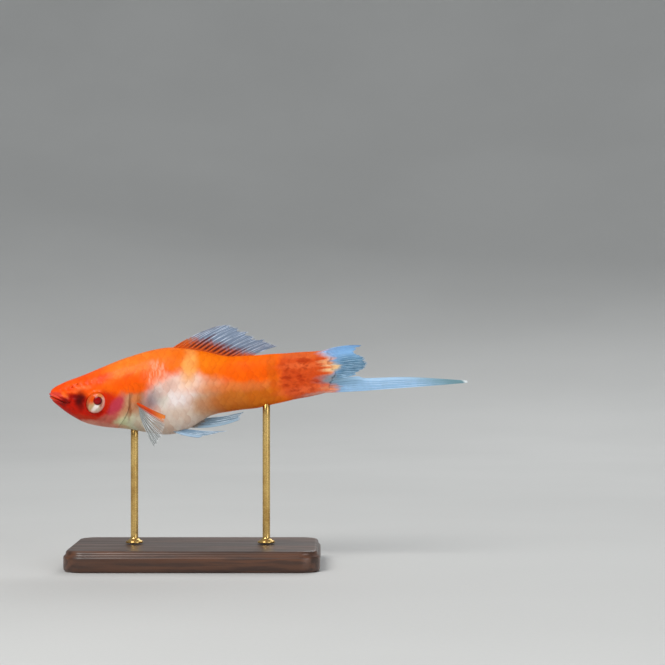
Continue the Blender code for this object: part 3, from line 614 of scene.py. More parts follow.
# Patches laid one over the other on plain orange: name, colour, middle, size, turn, softness and
# strength, in the fish's own millimetres and in degrees.
markings = (
    # Painted sheen of light along the top of the back.
    ("paintedBackSheen", (255, 138, 44), (22.0, 5.8), (11.5, 2.8), 14, 0.5, 0.8),
    ("backRear", (255, 124, 6), (42.0, 5.0), (11.0, 1.8), -8, 0.6, 0.8),
    ("deepOrange", (255, 92, 0), (20.3, 1.0), (5.0, 2.5), 8, 0.5, 0.95),
    ("midGlow", (255, 134, 16), (37.6, 3.2), (4.6, 3.6), -6, 0.5, 0.85),
    ("rearOrange", (255, 102, 0), (48.0, 1.5), (8.2, 2.8), 0, 0.5, 0.85),
    ("brow", (255, 86, 16), (6.0, 1.6), (8.5, 4.2), 14, 0.45, 0.9),
    ("browSpot", (244, 84, 20), (13.2, 2.5), (2.4, 1.0), 14, 0.7, 0.8),
    ("browLight", (255, 122, 60), (8.0, 0.7), (2.6, 0.5), 12, 0.6, 0.6),
    ("gillGround", (198, 144, 108), (19.8, -5.2), (3.6, 4.4), -10, 0.3, 1.0),
    ("shoulderBrown", (222, 92, 6), (21.8, -0.6), (3.0, 1.4), 0, 0.5, 0.85),
    ("throat", (212, 214, 170), (18.4, -9.6), (7.8, 3.0), -10, 0.4, 1.0),
    ("throatPale", (206, 210, 186), (22.4, -8.8), (3.6, 2.8), 0, 0.5, 0.85),
    # Painted shade of the gap under the rear edge of the gill cover.
    ("gillEdgeShade", (150, 92, 56), (19.4, -4.4), (0.45, 3.0), -6, 0.6, 0.75),
    ("gillLight", (216, 132, 76), (20.9, -2.9), (1.1, 1.0), 0, 0.6, 0.9),
    ("gillBrown", (176, 98, 40), (22.0, -2.8), (0.7, 1.9), -24, 0.6, 0.8),
    ("jawRed", (196, 24, 0), (7.6, -4.4), (8.6, 3.4), -14, 0.25, 1.0),
    ("cheekRed", (206, 34, 4), (14.2, -3.0), (2.6, 2.8), 30, 0.4, 0.95),
    ("jawLow", (196, 52, 22), (9.6, -6.9), (4.6, 0.9), -16, 0.5, 0.8),
    ("jawEdge", (226, 150, 128), (12.0, -8.4), (5.2, 0.85), -12, 0.5, 1.0),
    ("mouthShade", (128, 8, 0), (3.7, -2.2), (1.5, 0.75), -14, 0.6, 0.95),
    ("lipPink", (218, 72, 60), (1.8, -0.25), (1.4, 0.65), -12, 0.7, 0.9),
    ("lipTip", (196, 92, 108), (-0.1, -0.3), (0.8, 0.7), 0, 0.6, 0.9),
    ("maxillaTip", (255, 108, 36), (3.9, -0.6), (1.15, 0.55), -48, 0.5, 0.95),
    # Painted shade in the grooves between the snout and the eye.
    ("snoutGrooveShade", (150, 6, 0), (6.3, -1.2), (1.6, 0.8), 0, 0.9, 0.95),
    ("eyeGrooveShade", (84, 0, 0), (7.5, -2.1), (1.15, 2.0), -8, 0.8, 1.0),
    ("cheekPink", (196, 60, 80), (16.0, -4.5), (3.2, 1.25), 55, 0.5, 0.95),
    ("cheekLow", (200, 104, 88), (13.8, -7.0), (2.8, 1.0), 14, 0.6, 0.9),
    ("belly", (248, 238, 236), (31.0, -3.0), (7.0, 5.2), 6, 0.4, 1.0),
    ("bellyGreen", (214, 214, 200), (27.0, -2.6), (1.4, 3.6), 8, 0.6, 0.7),
    ("bellyPink", (255, 226, 210), (33.0, 0.0), (4.2, 1.9), 0, 0.6, 0.9),
    ("bellyFade", (238, 166, 122), (38.8, -1.1), (3.6, 1.7), 0, 0.8, 0.85),
    ("lowBelly", (232, 216, 200), (30.5, -9.6), (9.5, 4.2), 0, 0.4, 1.0),
    ("flankBeige", (204, 164, 128), (38.0, -5.2), (4.4, 3.6), 10, 0.5, 0.9),
    ("flankTan", (204, 116, 40), (46.0, -5.0), (8.6, 3.3), 2, 0.55, 0.95),
    ("flankRust", (216, 114, 22), (51.0, -4.6), (4.0, 2.4), 0, 0.5, 0.85),
    ("flankLine", (232, 130, 66), (46.0, -1.8), (9.0, 1.0), 0, 0.8, 0.7),
    ("rearDark", (226, 100, 12), (53.6, 0.6), (1.2, 4.4), 0, 0.5, 0.8),
    ("paleStreak", (255, 184, 100), (34.0, 3.8), (1.5, 3.6), -8, 0.9, 0.9),
    ("shoulderPink", (255, 126, 64), (26.0, 2.6), (3.0, 3.0), 0, 0.5, 0.6),
    ("pinkSpot", (255, 148, 92), (25.7, 5.3), (1.0, 0.8), 0, 0.6, 0.5),
    ("shoulderPale", (228, 200, 190), (27.8, -1.0), (3.2, 1.6), 24, 0.5, 0.85),
    ("shoulderGrey", (134, 124, 130), (24.5, -3.5), (2.3, 1.7), 55, 0.9, 0.85),
    ("collarOrange", (252, 98, 2), (20.6, -0.3), (2.9, 1.0), 0, 0.6, 0.8),
    ("midOrange", (255, 130, 24), (31.2, 4.6), (1.3, 1.8), 0, 0.8, 0.7),
    ("stalk", (222, 86, 32), (63.8, 1.6), (8.6, 6.4), 4, 0.16, 1.0),
    ("stalkLow", (222, 86, 32), (64.8, -3.2), (9.6, 4.6), -4, 0.16, 1.0),
    ("stalkLight", (244, 116, 60), (62.0, 1.8), (6.0, 0.7), 0, 0.7, 0.8),
    ("stalkEdge", (232, 112, 52), (62.0, 4.6), (6.0, 1.0), 0, 0.5, 0.8),
    ("stalkUnder", (240, 108, 58), (61.5, -4.0), (6.0, 1.0), 3, 0.6, 0.85),
    ("tailPale", (246, 172, 118), (67.7, 2.4), (2.0, 3.2), 0, 0.6, 0.85),
    ("tailPaleLow", (228, 146, 104), (67.6, -4.3), (2.0, 0.9), 0, 0.7, 0.8),
    ("tailUnder", (206, 168, 156), (64.6, -5.2), (4.4, 0.5), 3, 0.7, 0.7),
    ("tailBlue", (124, 166, 204), (76.0, 0.2), (8.0, 10.0), 0, 0.13, 1.0),
    ("tailTop", (146, 188, 234), (71.8, 4.8), (5.8, 2.1), 4, 0.35, 0.95),
    ("tailYellow", (255, 216, 158), (68.2, 0.7), (1.6, 0.75), 0, 0.8, 0.9),
    ("tailGrey", (132, 146, 156), (68.2, -2.1), (3.6, 1.15), 0, 0.6, 0.95),
)


def makeMarkings():
    # One group that paints skin, scales and the roots of the tail fin alike.
    tree = bpy.data.node_groups.new("fishMarkings", "ShaderNodeTree")
    tree.interface.new_socket(name="Color", in_out="OUTPUT", socket_type="NodeSocketColor")
    wiring = Wiring(tree)
    place = wiring.fishAxes()
    drift = wiring.shifted(place, wiring.noise(place, 0.32, 2.0, colour=True), 1.9)
    drift = wiring.shifted(drift, wiring.noise(place, 1.7, 2.0, colour=True), 0.4)
    # Towards the tail the colours run out in fingers between the rays.
    fingers = wiring.noise(wiring.stretched(place, (0.12, 0.3, 1.0)), 1.15, 1.0)
    fingers = wiring.times(
        wiring.math("SUBTRACT", fingers, 0.5), wiring.spread(wiring.parts(place)[0], 60.0, 66.0, 0.0, 7.0)
    )
    wires = {0: drift, 1: wiring.put("ShaderNodeCombineXYZ", {0: fingers})}
    drift = wiring.put("ShaderNodeVectorMath", wires, operation="ADD").outputs[0]
    colour = wiring.painted(tone(255, 110, 8), drift, markings)
    # Redder blotches over the face, and long dark ones on the tail stalk.
    blotch = wiring.spread(wiring.noise(place, 0.5, 1.5), 0.45, 0.68, 0.0, 0.6)
    face = wiring.patch(place, (9.0, 2.9), (9.0, 2.4), 14, 0.4)
    colour = wiring.blend(wiring.times(blotch, face), colour, wiring.tinted(colour, 0.95, 0.50, 0.40))
    blotch = wiring.noise(wiring.stretched(place, (0.45, 0.5, 1.0)), 0.95, 3.0)
    blotch = wiring.spread(blotch, 0.47, 0.66, 0.0, 0.75)
    stalk = wiring.patch(place, (60.6, -0.4), (5.6, 4.6), 0, 0.25)
    colour = wiring.blend(wiring.times(blotch, stalk), colour, tone(180, 54, 14))
    mottle = wiring.spread(wiring.noise(place, 0.9, 3.0), 0.35, 0.75, 0.0, 0.35)
    colour = wiring.blend(mottle, colour, wiring.tinted(colour, 0.80, 0.72, 0.70))
    wiring.put("NodeGroupOutput", {0: colour})
    return tree


markingsTree = makeMarkings()


def marked(wiring):
    return wiring.put("ShaderNodeGroup", node_tree=markingsTree).outputs[0]


def skinMaterial():
    material, shader, wiring = newMaterial(
        "wetSkin", Specular_IOR_Level=0.08, Coat_Weight=0.04, Coat_Roughness=0.10, Subsurface_Weight=0.08
    )
    shader.inputs["Subsurface Radius"].default_value = (1.0, 0.35, 0.2)
    shader.inputs["Subsurface Scale"].default_value = 0.0006
    colour = wiring.blend(wiring.times(wiring.given("shade"), 0.85), marked(wiring), tone(84, 22, 8))
    place = wiring.fishAxes()
    rough = wiring.spread(wiring.noise(place, 2.5), 0.3, 0.7, 0.28, 0.42)
    wiring.finish(shader, colour, rough, wiring.noise(place, 9.0, 3.0), 0.25, 0.00002)
    return material


def scaleMaterial():
    material, shader, wiring = newMaterial(
        "wetScales", Specular_IOR_Level=0.07, Coat_Weight=0.04, Coat_Roughness=0.12
    )
    place = wiring.fishAxes()
    local, chance, bold = wiring.given("scaleUv", "Vector"), wiring.given("chance"), wiring.given("bold")
    across, along = wiring.parts(local)[:2]
    fromMiddle = wiring.math("ABSOLUTE", across)
    colour = marked(wiring)
    # Each scale is a little lighter or darker than the next, and darker along its rear rim.
    rim = wiring.spread(along, 0.72, 1.0)
    rim = wiring.times(rim, wiring.times(bold, 0.16))
    colour = wiring.blend(rim, colour, wiring.tinted(colour, 0.70, 0.55, 0.52))
    colour = wiring.blend(wiring.times(chance, bold), colour, wiring.tinted(colour, 0.93, 0.80, 0.74))
    # Dark red hearts on the scales of the tail stalk, and on those of the shoulder pale crescents of painted
    # highlight.
    heart = wiring.times(
        wiring.spread(along, 0.15, 0.55), wiring.spread(along, 0.95, 0.6),
        wiring.spread(fromMiddle, 0.8, 0.2),
        wiring.patch(place, (60.0, -0.6), (5.4, 4.0), 0, 0.2),
        wiring.spread(wiring.noise(place, 0.55, 1.0), 0.38, 0.62), 0.42,
    )
    colour = wiring.blend(heart, colour, tone(172, 48, 10))
    upright = wiring.noise(wiring.stretched(place, (1.5, 0.4, 0.3)), 1.0, 2.0)
    # Painted highlights: pale crescents on the scales of the shoulder.
    crescentHighlight = wiring.times(
        wiring.spread(along, 0.2, 0.7), wiring.spread(along, 1.15, 0.85), wiring.spread(fromMiddle, 1.0, 0.3),
        wiring.patch(place, (26.4, 2.6), (2.6, 3.2), 0, 0.4), wiring.spread(upright, 0.40, 0.62, 0.0, 0.62),
    )
    colour = wiring.blend(crescentHighlight, colour, tone(255, 178, 150))
    # Fine growth rings run round each scale.
    rings = wiring.math("SINE", wiring.times(wiring.length(local), 70.0))
    grain = wiring.math("ADD", wiring.times(rings, 0.5), wiring.noise(place, 6.0, 2.0))
    rough = wiring.spread(wiring.noise(place, 1.8), 0.3, 0.7, 0.34, 0.48)
    wiring.finish(shader, colour, rough, grain, wiring.times(bold, 0.12), 0.00002)
    return material


skin = makeSkin()
finished(
    skin, skinMaterial(), "red_skin",
    "head", "lower_jaw", "gill_cover_left", "gill_cover_right", "torso", "tail_stalk",
)


scaleForm = {
    "pitch": 1.74,  # between neighbours in one row
    "rowGap": 1.75,  # between rows at the shoulder
    "rowGapRear": 1.30,
    "midLine": -0.6,
    "overlap": 1.14,
    "spread": 2.1,  # width of a scale over the gap between rows
    "rise": 0.066,
    "bodyStart": 18.6,
    "shrinkFrom": (62.5, 66.5),  # the last scales are smaller and flatter
    "bodyEnd": (67.4, 0.075),  # furthest back, and how the end of the coat curves
    "headPitch": 1.15,
    "headRowGap": 1.05,
    "headRise": 0.036,
    "headStart": 7.2,
    "eyeClear": 3.9,  # none nearer to the eye's middle
    "faceLine": ((-7.2, -4.8, -1.8, 0.6, 1.4), (14.2, 15.4, 15.5, 14.4, 10.6)),  # none before it
    "ridge": (13.5, 29.5, 46.0, 64.7),  # the back's single row: start, dorsal fin, end
    "keelStart": 19.5,
    "ridgeWidth": 2.4,
    "acrossSteps": 8,
    "alongSteps": 4,
}


def scaleShape():
    # One scale: flat, round at its rear, with a rim that turns down; lift is kept as a value.
    across = np.linspace(-1, 1, scaleForm["acrossSteps"] + 1)
    along = np.linspace(0, 1, scaleForm["alongSteps"] + 1)
    u, v = np.meshgrid(across, along, indexing="ij")
    rear = 1 - 0.46 * np.abs(u) ** 2.3
    x = -0.32 + (rear + 0.32) * v
    y = 0.5 * u * (0.82 + 0.18 * np.sin(math.pi * v))
    lift = np.interp(x, [-0.32, 0.0, 0.12, 0.9, 1.0], [-1.0, -0.12, 0.16, 0.93, 1.0]) - 0.12 * u**2
    points = np.stack([x, y, 0 * x], axis=-1).reshape(-1, 3)
    rows = len(along)
    faces = []
    for i in range(len(across) - 1):
        for j in range(rows - 1):
            a = i * rows + j
            faces.append((a, a + rows, a + rows + 1, a + 1)[::-1])
    # The rim follows the sides and the rear edge.
    edge = list(range(rows)) + [i * rows + rows - 1 for i in range(1, len(across))]
    edge += [(len(across) - 1) * rows + j for j in range(rows - 2, -1, -1)]
    top = points[edge]
    bottom = top * (1.0, 1.012, 1.0) + (0.008, 0.0, 0.0)
    first = len(points)
    points = np.vstack([points, top, bottom])
    lifts = np.concatenate([lift.ravel(), lift.ravel()[edge], lift.ravel()[edge] - 0.75])
    flat = np.stack([u, v], axis=-1).reshape(-1, 2)
    local = np.vstack([flat, flat[edge], flat[edge]])
    n = len(edge)
    faces += [(first + k, first + k + 1, first + n + k + 1, first + n + k) for k in range(n - 1)]
    mesh = bpy.data.meshes.new("scaleShape")
    mesh.from_pydata(points.tolist(), [], faces)
    shape = bpy.data.objects.new("scaleShape", mesh)
    giveValues(shape, "lift", lifts)
    giveValues(shape, "scaleUv", np.column_stack([local, 0 * local[:, 0]]), "FLOAT_VECTOR")
    return shape


def sideLine(along):
    # The body's outline at one distance, from back to belly: angles, arc length, and its middle line.
    angles = np.linspace(math.pi / 2, -math.pi / 2, 241)
    line = sectionPoint(np.full(angles.shape, along), angles)
    arc = np.concatenate([[0], np.cumsum(np.linalg.norm(np.diff(line, axis=0), axis=1))])
    level = np.interp(-scaleForm["midLine"], -line[:, 2], arc)
    return angles, arc, level


def gridRoots(start, pitch, columns, gapAt, margin):
    # Places in staggered rows over one side: distance from the snout, row gap, angle and height.
    for row in range(-12, 12):
        for column in columns:
            along = start + pitch * (column + (row % 2) / 2)
            gap = gapAt(along)
            angles, arc, level = sideLine(along)
            place = level - row * gap
            if margin * gap < place < arc[-1] - margin * gap:
                angle = float(np.interp(place, arc, angles))
                yield along, gap, angle, float(sectionPoint(np.array(along), np.array(angle))[2])


def bodyGap(along):
    return scaleForm["rowGap"] + (scaleForm["rowGapRear"] - scaleForm["rowGap"]) * float(ramp(30, 58, along))


def bodyRoots():
    # Where the body's scales grow: distance, angle, width, length, rise and boldness.
    roots = []
    pitch, (furthest, curve) = scaleForm["pitch"], scaleForm["bodyEnd"]
    for along, gap, angle, height in gridRoots(scaleForm["bodyStart"], pitch, range(-1, 40), bodyGap, 0.35):
        if along < gillEdge(height) - 0.9 + 1.1 * float(ramp(-0.4, 1.2, height)):
            continue
        if along > furthest - curve * (height - 0.4) ** 2 or abs(height + 2.2) < 0.5 and along > 66.6:
            continue
        ending = float(ramp(*scaleForm["shrinkFrom"], along))
        shrunk, rise = 1 - 0.30 * ending, scaleForm["rise"] * (1 - 0.72 * ending)
        width, length = scaleForm["spread"] * gap * shrunk, pitch * scaleForm["overlap"] * shrunk
        roots.append((along, angle, width, length, rise, 1 - 0.8 * ending))
    return roots


def headRoots():
    # The same for the smaller scales of the nape and the gill covers.
    roots = []
    pitch, (eyeS, eyeH) = scaleForm["headPitch"], headForm["eye"]
    places = gridRoots(scaleForm["headStart"], pitch, range(14), lambda along: scaleForm["headRowGap"], 0.4)
    for along, gap, angle, height in places:
        if along + 1.25 * pitch * (1 - float(ramp(0.6, 1.8, height))) > gillEdge(height) + 0.1:
            continue
        fromEye = eyeDistance(along - eyeS, height - eyeH, headForm["eyeOpening"])
        if fromEye < scaleForm["eyeClear"] or along < float(np.interp(height, *scaleForm["faceLine"])):
            continue
        if height < -7.4 and along < 15:
            continue
        rise = scaleForm["headRise"] * (0.7 + 0.3 * float(ramp(11, 15, along)))
        # At the nape they rise over the fronts of the body's scales.
        nape = float(ramp(16.5, 18.5, along) * ramp(0.6, 1.8, height))
        rise += (0.95 * scaleForm["rise"] - rise) * nape
        bold = 0.25 + 0.35 * float(ramp(11, 18, along))
        roots.append((along, angle, scaleForm["spread"] * gap, pitch * scaleForm["overlap"], rise, bold))
    return roots


def midRoots():
    # The single rows on the ridge of the back and under the belly and tail stalk.
    start, finStart, finEnd, end = scaleForm["ridge"]
    step, length = scaleForm["pitch"] * 0.5, scaleForm["pitch"] * scaleForm["overlap"]
    roots = []
    for along in np.arange(start, end, step):
        if not finStart < along < finEnd:
            rise = scaleForm["rise"] if along > 19 else scaleForm["headRise"]
            roots.append((along, math.pi / 2, scaleForm["ridgeWidth"], length, rise, 0.8))
    for along in np.arange(scaleForm["keelStart"], end, step):
        roots.append((along, -math.pi / 2, scaleForm["ridgeWidth"], length, scaleForm["rise"], 0.8))
    return roots


def startTree(name, *sockets):
    # A Geometry Nodes tree with its inputs' identifiers, its wiring and the node that gives them.
    tree = bpy.data.node_groups.new(name, "GeometryNodeTree")
    inputs = {}
    for socket, kind in (("Geometry", "Geometry"), *sockets, ("Finish", "Material")):
        made = tree.interface.new_socket(name=socket, in_out="INPUT", socket_type="NodeSocket" + kind)
        inputs[socket] = made.identifier
    tree.interface.new_socket(name="Geometry", in_out="OUTPUT", socket_type="NodeSocketGeometry")
    wiring = Wiring(tree)
    return tree, inputs, wiring, wiring.put("NodeGroupInput").outputs


def endTree(wiring, geometry, finish):
    smooth = wiring.put("GeometryNodeSetShadeSmooth", {"Geometry": geometry})
    real = wiring.put("GeometryNodeRealizeInstances", {"Geometry": smooth})
    coated = wiring.put("GeometryNodeSetMaterial", {"Geometry": real, "Material": finish})
    wiring.put("NodeGroupOutput", {0: coated})


def scaleTree():
    # Scales set on their roots, laid on the skin and lifted along its normal.
    tree, inputs, wiring, given = startTree(
        "scaleCoat", ("Skin", "Object"), ("Scale Shape", "Object"), ("Lift Scale", "Float")
    )

    def named(name, kind):
        return wiring.put("GeometryNodeInputNamedAttribute", {"Name": name}, data_type=kind).outputs[0]

    shape = wiring.put("GeometryNodeObjectInfo", {"Object": given["Scale Shape"]})
    lyingOn = wiring.put("GeometryNodeObjectInfo", {"Object": given["Skin"]})
    turned = wiring.put("FunctionNodeEulerToRotation", {0: named("facing", "FLOAT_VECTOR")})
    placed = wiring.put("GeometryNodeInstanceOnPoints", {
        "Points": given["Geometry"],
        "Instance": shape.outputs["Geometry"],
        "Rotation": turned,
        "Scale": named("size", "FLOAT_VECTOR"),
    })
    real = wiring.put("GeometryNodeRealizeInstances", {"Geometry": placed})
    place = wiring.put("GeometryNodeInputPosition")
    normal = wiring.put("GeometryNodeInputNormal")
    under = []
    for value in (place, normal):
        node = wiring.put("GeometryNodeSampleNearestSurface", data_type="FLOAT_VECTOR")
        wiring.feed(node.inputs["Mesh"], lyingOn.outputs["Geometry"])
        wiring.feed(node.inputs["Value"], value)
        wiring.feed(node.inputs["Sample Position"], place)
        under.append(node.outputs[0])
    height = wiring.times(named("lift", "FLOAT"), named("rise", "FLOAT"), given["Lift Scale"])
    raised = wiring.put("ShaderNodeVectorMath", {0: under[1], "Scale": height}, operation="SCALE")
    laid = wiring.put("ShaderNodeVectorMath", {0: under[0], 1: raised}, operation="ADD")
    moved = wiring.put("GeometryNodeSetPosition", {"Geometry": real, "Position": laid})
    endTree(wiring, moved, given["Finish"])
    return tree, inputs


def makeScales():
    material, shape, bed = scaleMaterial(), scaleShape(), makeScaleBed()
    tree, inputs = scaleTree()
    head, body = headRoots(), bodyRoots()
    sets = (
        ("headScalesRight", 1, head, skin),
        ("headScalesLeft", -1, head, skin),
        ("bodyScalesRight", 1, body, bed),
        ("bodyScalesLeft", -1, body, bed),
        ("ridgeScales", 1, midRoots(), skin),
    )
    for name, side, roots, lyingOn in sets:
        along, angle, width, length, rise, bold = np.array(roots).T
        along = along + random.normal(0, 0.03, len(roots))
        place = sectionPoint(along, angle) * (1, side, 1)
        normal = sectionNormal(along, angle) * (1, side, 1)
        forward = sectionPoint(along + 0.1, angle) - sectionPoint(along - 0.1, angle)
        forward = forward * (1, side, 1)
        forward -= normal * np.sum(forward * normal, axis=1, keepdims=True)
        forward /= np.linalg.norm(forward, axis=1, keepdims=True)
        base = toWorld(np.zeros(3))
        axes = [toWorld(v) - base for v in (forward, np.cross(normal, forward), normal)]
        facing = []
        for x, y, z in zip(*axes):
            turn = Matrix((x * 1000, y * 1000, z * 1000)).transposed()
            facing.append(tuple(turn.to_euler()))
        points = newPiece(name, place, [])
        giveValues(points, "facing", facing, "FLOAT_VECTOR")
        grow = random.normal(1, 0.03, len(roots))
        size = np.column_stack([length / 1000, width / 1000, 0 * width + 1]) * grow[:, None]
        giveValues(points, "size", size, "FLOAT_VECTOR")
        giveValues(points, "rise", rise / 1000)
        giveValues(points, "chance", random.uniform(0, 1, len(roots)))
        giveValues(points, "bold", bold)
        unwrap = np.column_stack([0.02 + along / 70, 0.5 + side * (0.5 - angle / math.pi) / 2.1, 0 * along])
        giveValues(points, "rootUv", unwrap, "FLOAT_VECTOR")
        coat = points.modifiers.new("coat", "NODES")
        coat.node_group = tree
        coat[inputs["Skin"]] = lyingOn
        coat[inputs["Scale Shape"]] = shape
        coat[inputs["Lift Scale"]] = 1.0
        coat[inputs["Finish"]] = material
        frozen(points)
        count = len(points.data.vertices)
        root, local = np.empty(count * 3, np.float32), np.empty(count * 3, np.float32)
        points.data.attributes["rootUv"].data.foreach_get("vector", root)
        points.data.attributes["scaleUv"].data.foreach_get("vector", local)
        patch = local.reshape(-1, 3)[:, :2] * (0.5, 1.0) * 0.003
        giveUv(points, "OFBake", root.reshape(-1, 3)[:, :2] + patch)
        finished(points, material, "orange_skin")
        print(name, len(roots), "scales,", len(points.data.polygons), "faces")


makeScales()


# Roots, margins and tips go from the leading ray to the last one. A place is a distance behind the
# snout and a height, and in the tips the sideways place stands between them. A root of two numbers
# is two distances, and for the tail two heights.
pelvicForm = {"rays": 6, "fray": 0.12, "root": (28.3, 30.0), "out": (1.6, 1.2), "bow": -0.7}
pectoralForm = {
    "rays": 13, "fray": 0.06, "stout": 2.0, "bulge": 1.0, "bow": (-0.6, 0.8), "crowd": 1.7,
    "root": ((20.4, -3.5), (21.1, -5.7)),
}
finForms = {
    "dorsal": {
        "node": "dorsal_fin", "rays": 17, "fray": 0.11, "root": (28.8, 46.6), "bow": (1.1, 0.5), "wave": 0.6,
        "margin": ((41.2, 12.9), (44.0, 13.1), (47.0, 11.9), (50.2, 10.1), (53.0, 8.5), (55.3, 7.0)),
    },
    "tail": {
        "node": "tail_fin", "rays": 22, "fray": 0.08, "root": (4.7, -1.7), "bow": 1.1, "wave": 0.4,
        "margin": ((75.4, 5.5), (74.3, 4.8), (73.6, 4.0), (75.3, 3.2), (76.3, 1.9), (76.4, 0.7),
                   (75.2, -0.4), (73.7, -1.0), (73.6, -1.4)),
    },
    "sword": {
        "node": "sword", "rays": 6, "fray": 0.0, "sway": 0.8,
        "top": ((65.5, -2.2), (73.5, -1.9), (76.0, -2.5), (86.4, -3.1), (100.0, -5.0)),
        "bottom": ((65.5, -5.0), (73.5, -5.3), (80.0, -5.4), (90.0, -5.5), (100.2, -5.5)),
    },
    "anal": {
        "node": "anal_fin", "rays": 6, "fray": 0.12, "root": (31.2, 34.5), "bow": (-1.9, -0.6),
        "tips": ((44.8, 0.0, -9.9), (46.0, 0.0, -8.1)),
    },
    "pelvicLeft": {
        **pelvicForm, "node": "pelvic_fin_left", "side": -1,
        "tips": ((35.0, -3.6, -13.2), (41.8, -2.2, -12.2)),
    },
    "pelvicRight": {
        **pelvicForm, "node": "pelvic_fin_right", "side": 1,
        "tips": ((33.8, 7.0, -13.4), (35.2, 10.0, -12.2)),
    },
    "pectoralLeft": {
        **pectoralForm, "node": "pectoral_fin_left", "side": -1,
        "tips": ((28.0, -10.4, -7.1), (24.7, -8.2, -14.4)),
    },
    "pectoralRight": {
        **pectoralForm, "node": "pectoral_fin_right", "side": 1,
        "tips": ((29.8, 8.8, -3.0), (28.0, 8.2, -10.2)),
    },
}
rootSunk = 1.2  # how far the roots go into the flesh
# How much of its full length each fin keeps, at points across its frayed edge; and where its rays
# stand: a little unevenly, and in the pectorals crowded towards the leading edge.
frayed, raysAt = {}, {}
for finName, finForm in finForms.items():
    frayed[finName] = 1 - finForm["fray"] * random.uniform(0, 1, finForm["rays"] + 4) ** 1.5
    frayed[finName][[0, 1, -2, -1]] = 1
    inner = np.linspace(0, 1, finForm["rays"])[1:-1] ** finForm.get("crowd", 1.0)
    inner = inner + random.uniform(-0.22, 0.22, len(inner)) / finForm["rays"]
    raysAt[finName] = np.concatenate([[0.0], inner, [1.0]])


def freeEdge(name, share):
    return smoothRows(frayed[name][:, None], share)[..., 0].clip(0, 1)


def finEnds(name, share):
    # Root, bend and tip of the ray at a share of the way across a fin.
    form = finForms[name]
    zero = 0 * share
    if name == "dorsal":
        along = between(form["root"], share)
        root = np.stack([along, zero, profile(along)[0] - rootSunk], axis=-1)
        margin = smoothRows(form["margin"], share)
        sway = form["wave"] * np.sin(2.2 * math.pi * share)
        tip = np.stack([margin[..., 0], sway, margin[..., 1]], axis=-1)
        bend = (root + tip) / 2 + between(form["bow"], share)[..., None] * (-0.4, 0, 1)
        bend[..., 1] = 0
    elif name == "tail":
        tailEnd = bodyForm["stations"][-1][0]
        root = np.stack([zero + tailEnd - rootSunk, zero, between(form["root"], share)], axis=-1)
        margin = smoothRows(form["margin"], share)
        sway = form["wave"] * np.sin(3 * math.pi * share)
        tip = np.stack([margin[..., 0], sway, margin[..., 1]], axis=-1)
        bend = (root + tip) / 2
        bend[..., 1] = 0
        bend[..., 2] += form["bow"] * (1 - share) ** 2
        # Its lowest rays lie against the sword.
        for point, drop in ((root, 0.75), (bend, 0.55)):
            point[..., 2] -= drop * ramp(0.7, 1.0, share)
    elif name == "anal":
        along = between(form["root"], share)
        root = np.stack([along, zero, profile(along)[1] + rootSunk], axis=-1)
        tip = between(form["tips"], share)
        bend = (root + tip) / 2 + between(form["bow"], share)[..., None] * (0, 0, 1)
    elif name.startswith("pelvic"):
        along = between(form["root"], share)
        root = np.stack([along, form["side"] * between(form["out"], share), profile(along)[1] + rootSunk], -1)
        tip = between(form["tips"], share)
        bend = (root + tip) / 2 + np.array([0, 0, form["bow"]])
    else:
        place = between(form["root"], share)
        along, height = place[..., 0], place[..., 1]
        surface = np.stack([along, form["side"] * flankWidth(along, height), height], axis=-1)
        root = surface - flankNormal(along, height, form["side"]) * rootSunk
        tip = between(form["tips"], share)
        reach = tip - surface
        reach /= np.linalg.norm(reach, axis=-1, keepdims=True)
        tip = tip + reach * form["bulge"] * np.sin(math.pi * share)[..., None]
        bend = (root + tip) / 2 + np.array([form["bow"][0], form["side"] * form["bow"][1], 0])
    return root, bend, tip


def finPoint(name, share, t):
    # A point of a fin's middle surface: share goes across its rays, t from root to margin.
    share, t = np.broadcast_arrays(np.asarray(share, float), np.asarray(t, float))
    if name == "sword":
        form = finForms[name]
        edge = smoothRows(form["top"], t)
        edge = edge + (smoothRows(form["bottom"], t) - edge) * share[..., None]
        return np.stack([edge[..., 0], form["sway"] * np.sin(0.9 * math.pi * t) * t, edge[..., 1]], axis=-1)
    root, bend, tip = finEnds(name, share)
    t = t[..., None]
    return (1 - t) ** 2 * root + 2 * t * (1 - t) * bend + t * t * tip


rayForm = {
    "rootRadius": 0.125,
    "tipRadius": 0.036,
    "firstFork": 0.42,
    "secondFork": 0.70,
    "swordForks": (0.9, 1.0),
    "forkSpread": 0.16,  # shares of the gap to the next ray
    "forkTipSpread": 0.10,
    "tineSpread": 0.09,
    "tineStray": 0.035,
    "sides": 8,
}


def rayTree():
    # Round tapered rays along lines, each point with its own radius.
    tree, inputs, wiring, given = startTree("finRays", ("Sides", "Int"))
    radius = wiring.put("GeometryNodeInputNamedAttribute", {"Name": "rayRadius"}, data_type="FLOAT")
    circle = wiring.put("GeometryNodeCurvePrimitiveCircle", {"Resolution": given["Sides"], "Radius": 1.0})
    line = wiring.put("GeometryNodeMeshToCurve", {"Mesh": given["Geometry"]})
    wires = {"Curve": line, "Profile Curve": circle, "Scale": radius, "Fill Caps": True}
    endTree(wiring, wiring.put("GeometryNodeCurveToMesh", wires), given["Finish"])
    return tree, inputs


rayTreeMade, rayInputs = rayTree()


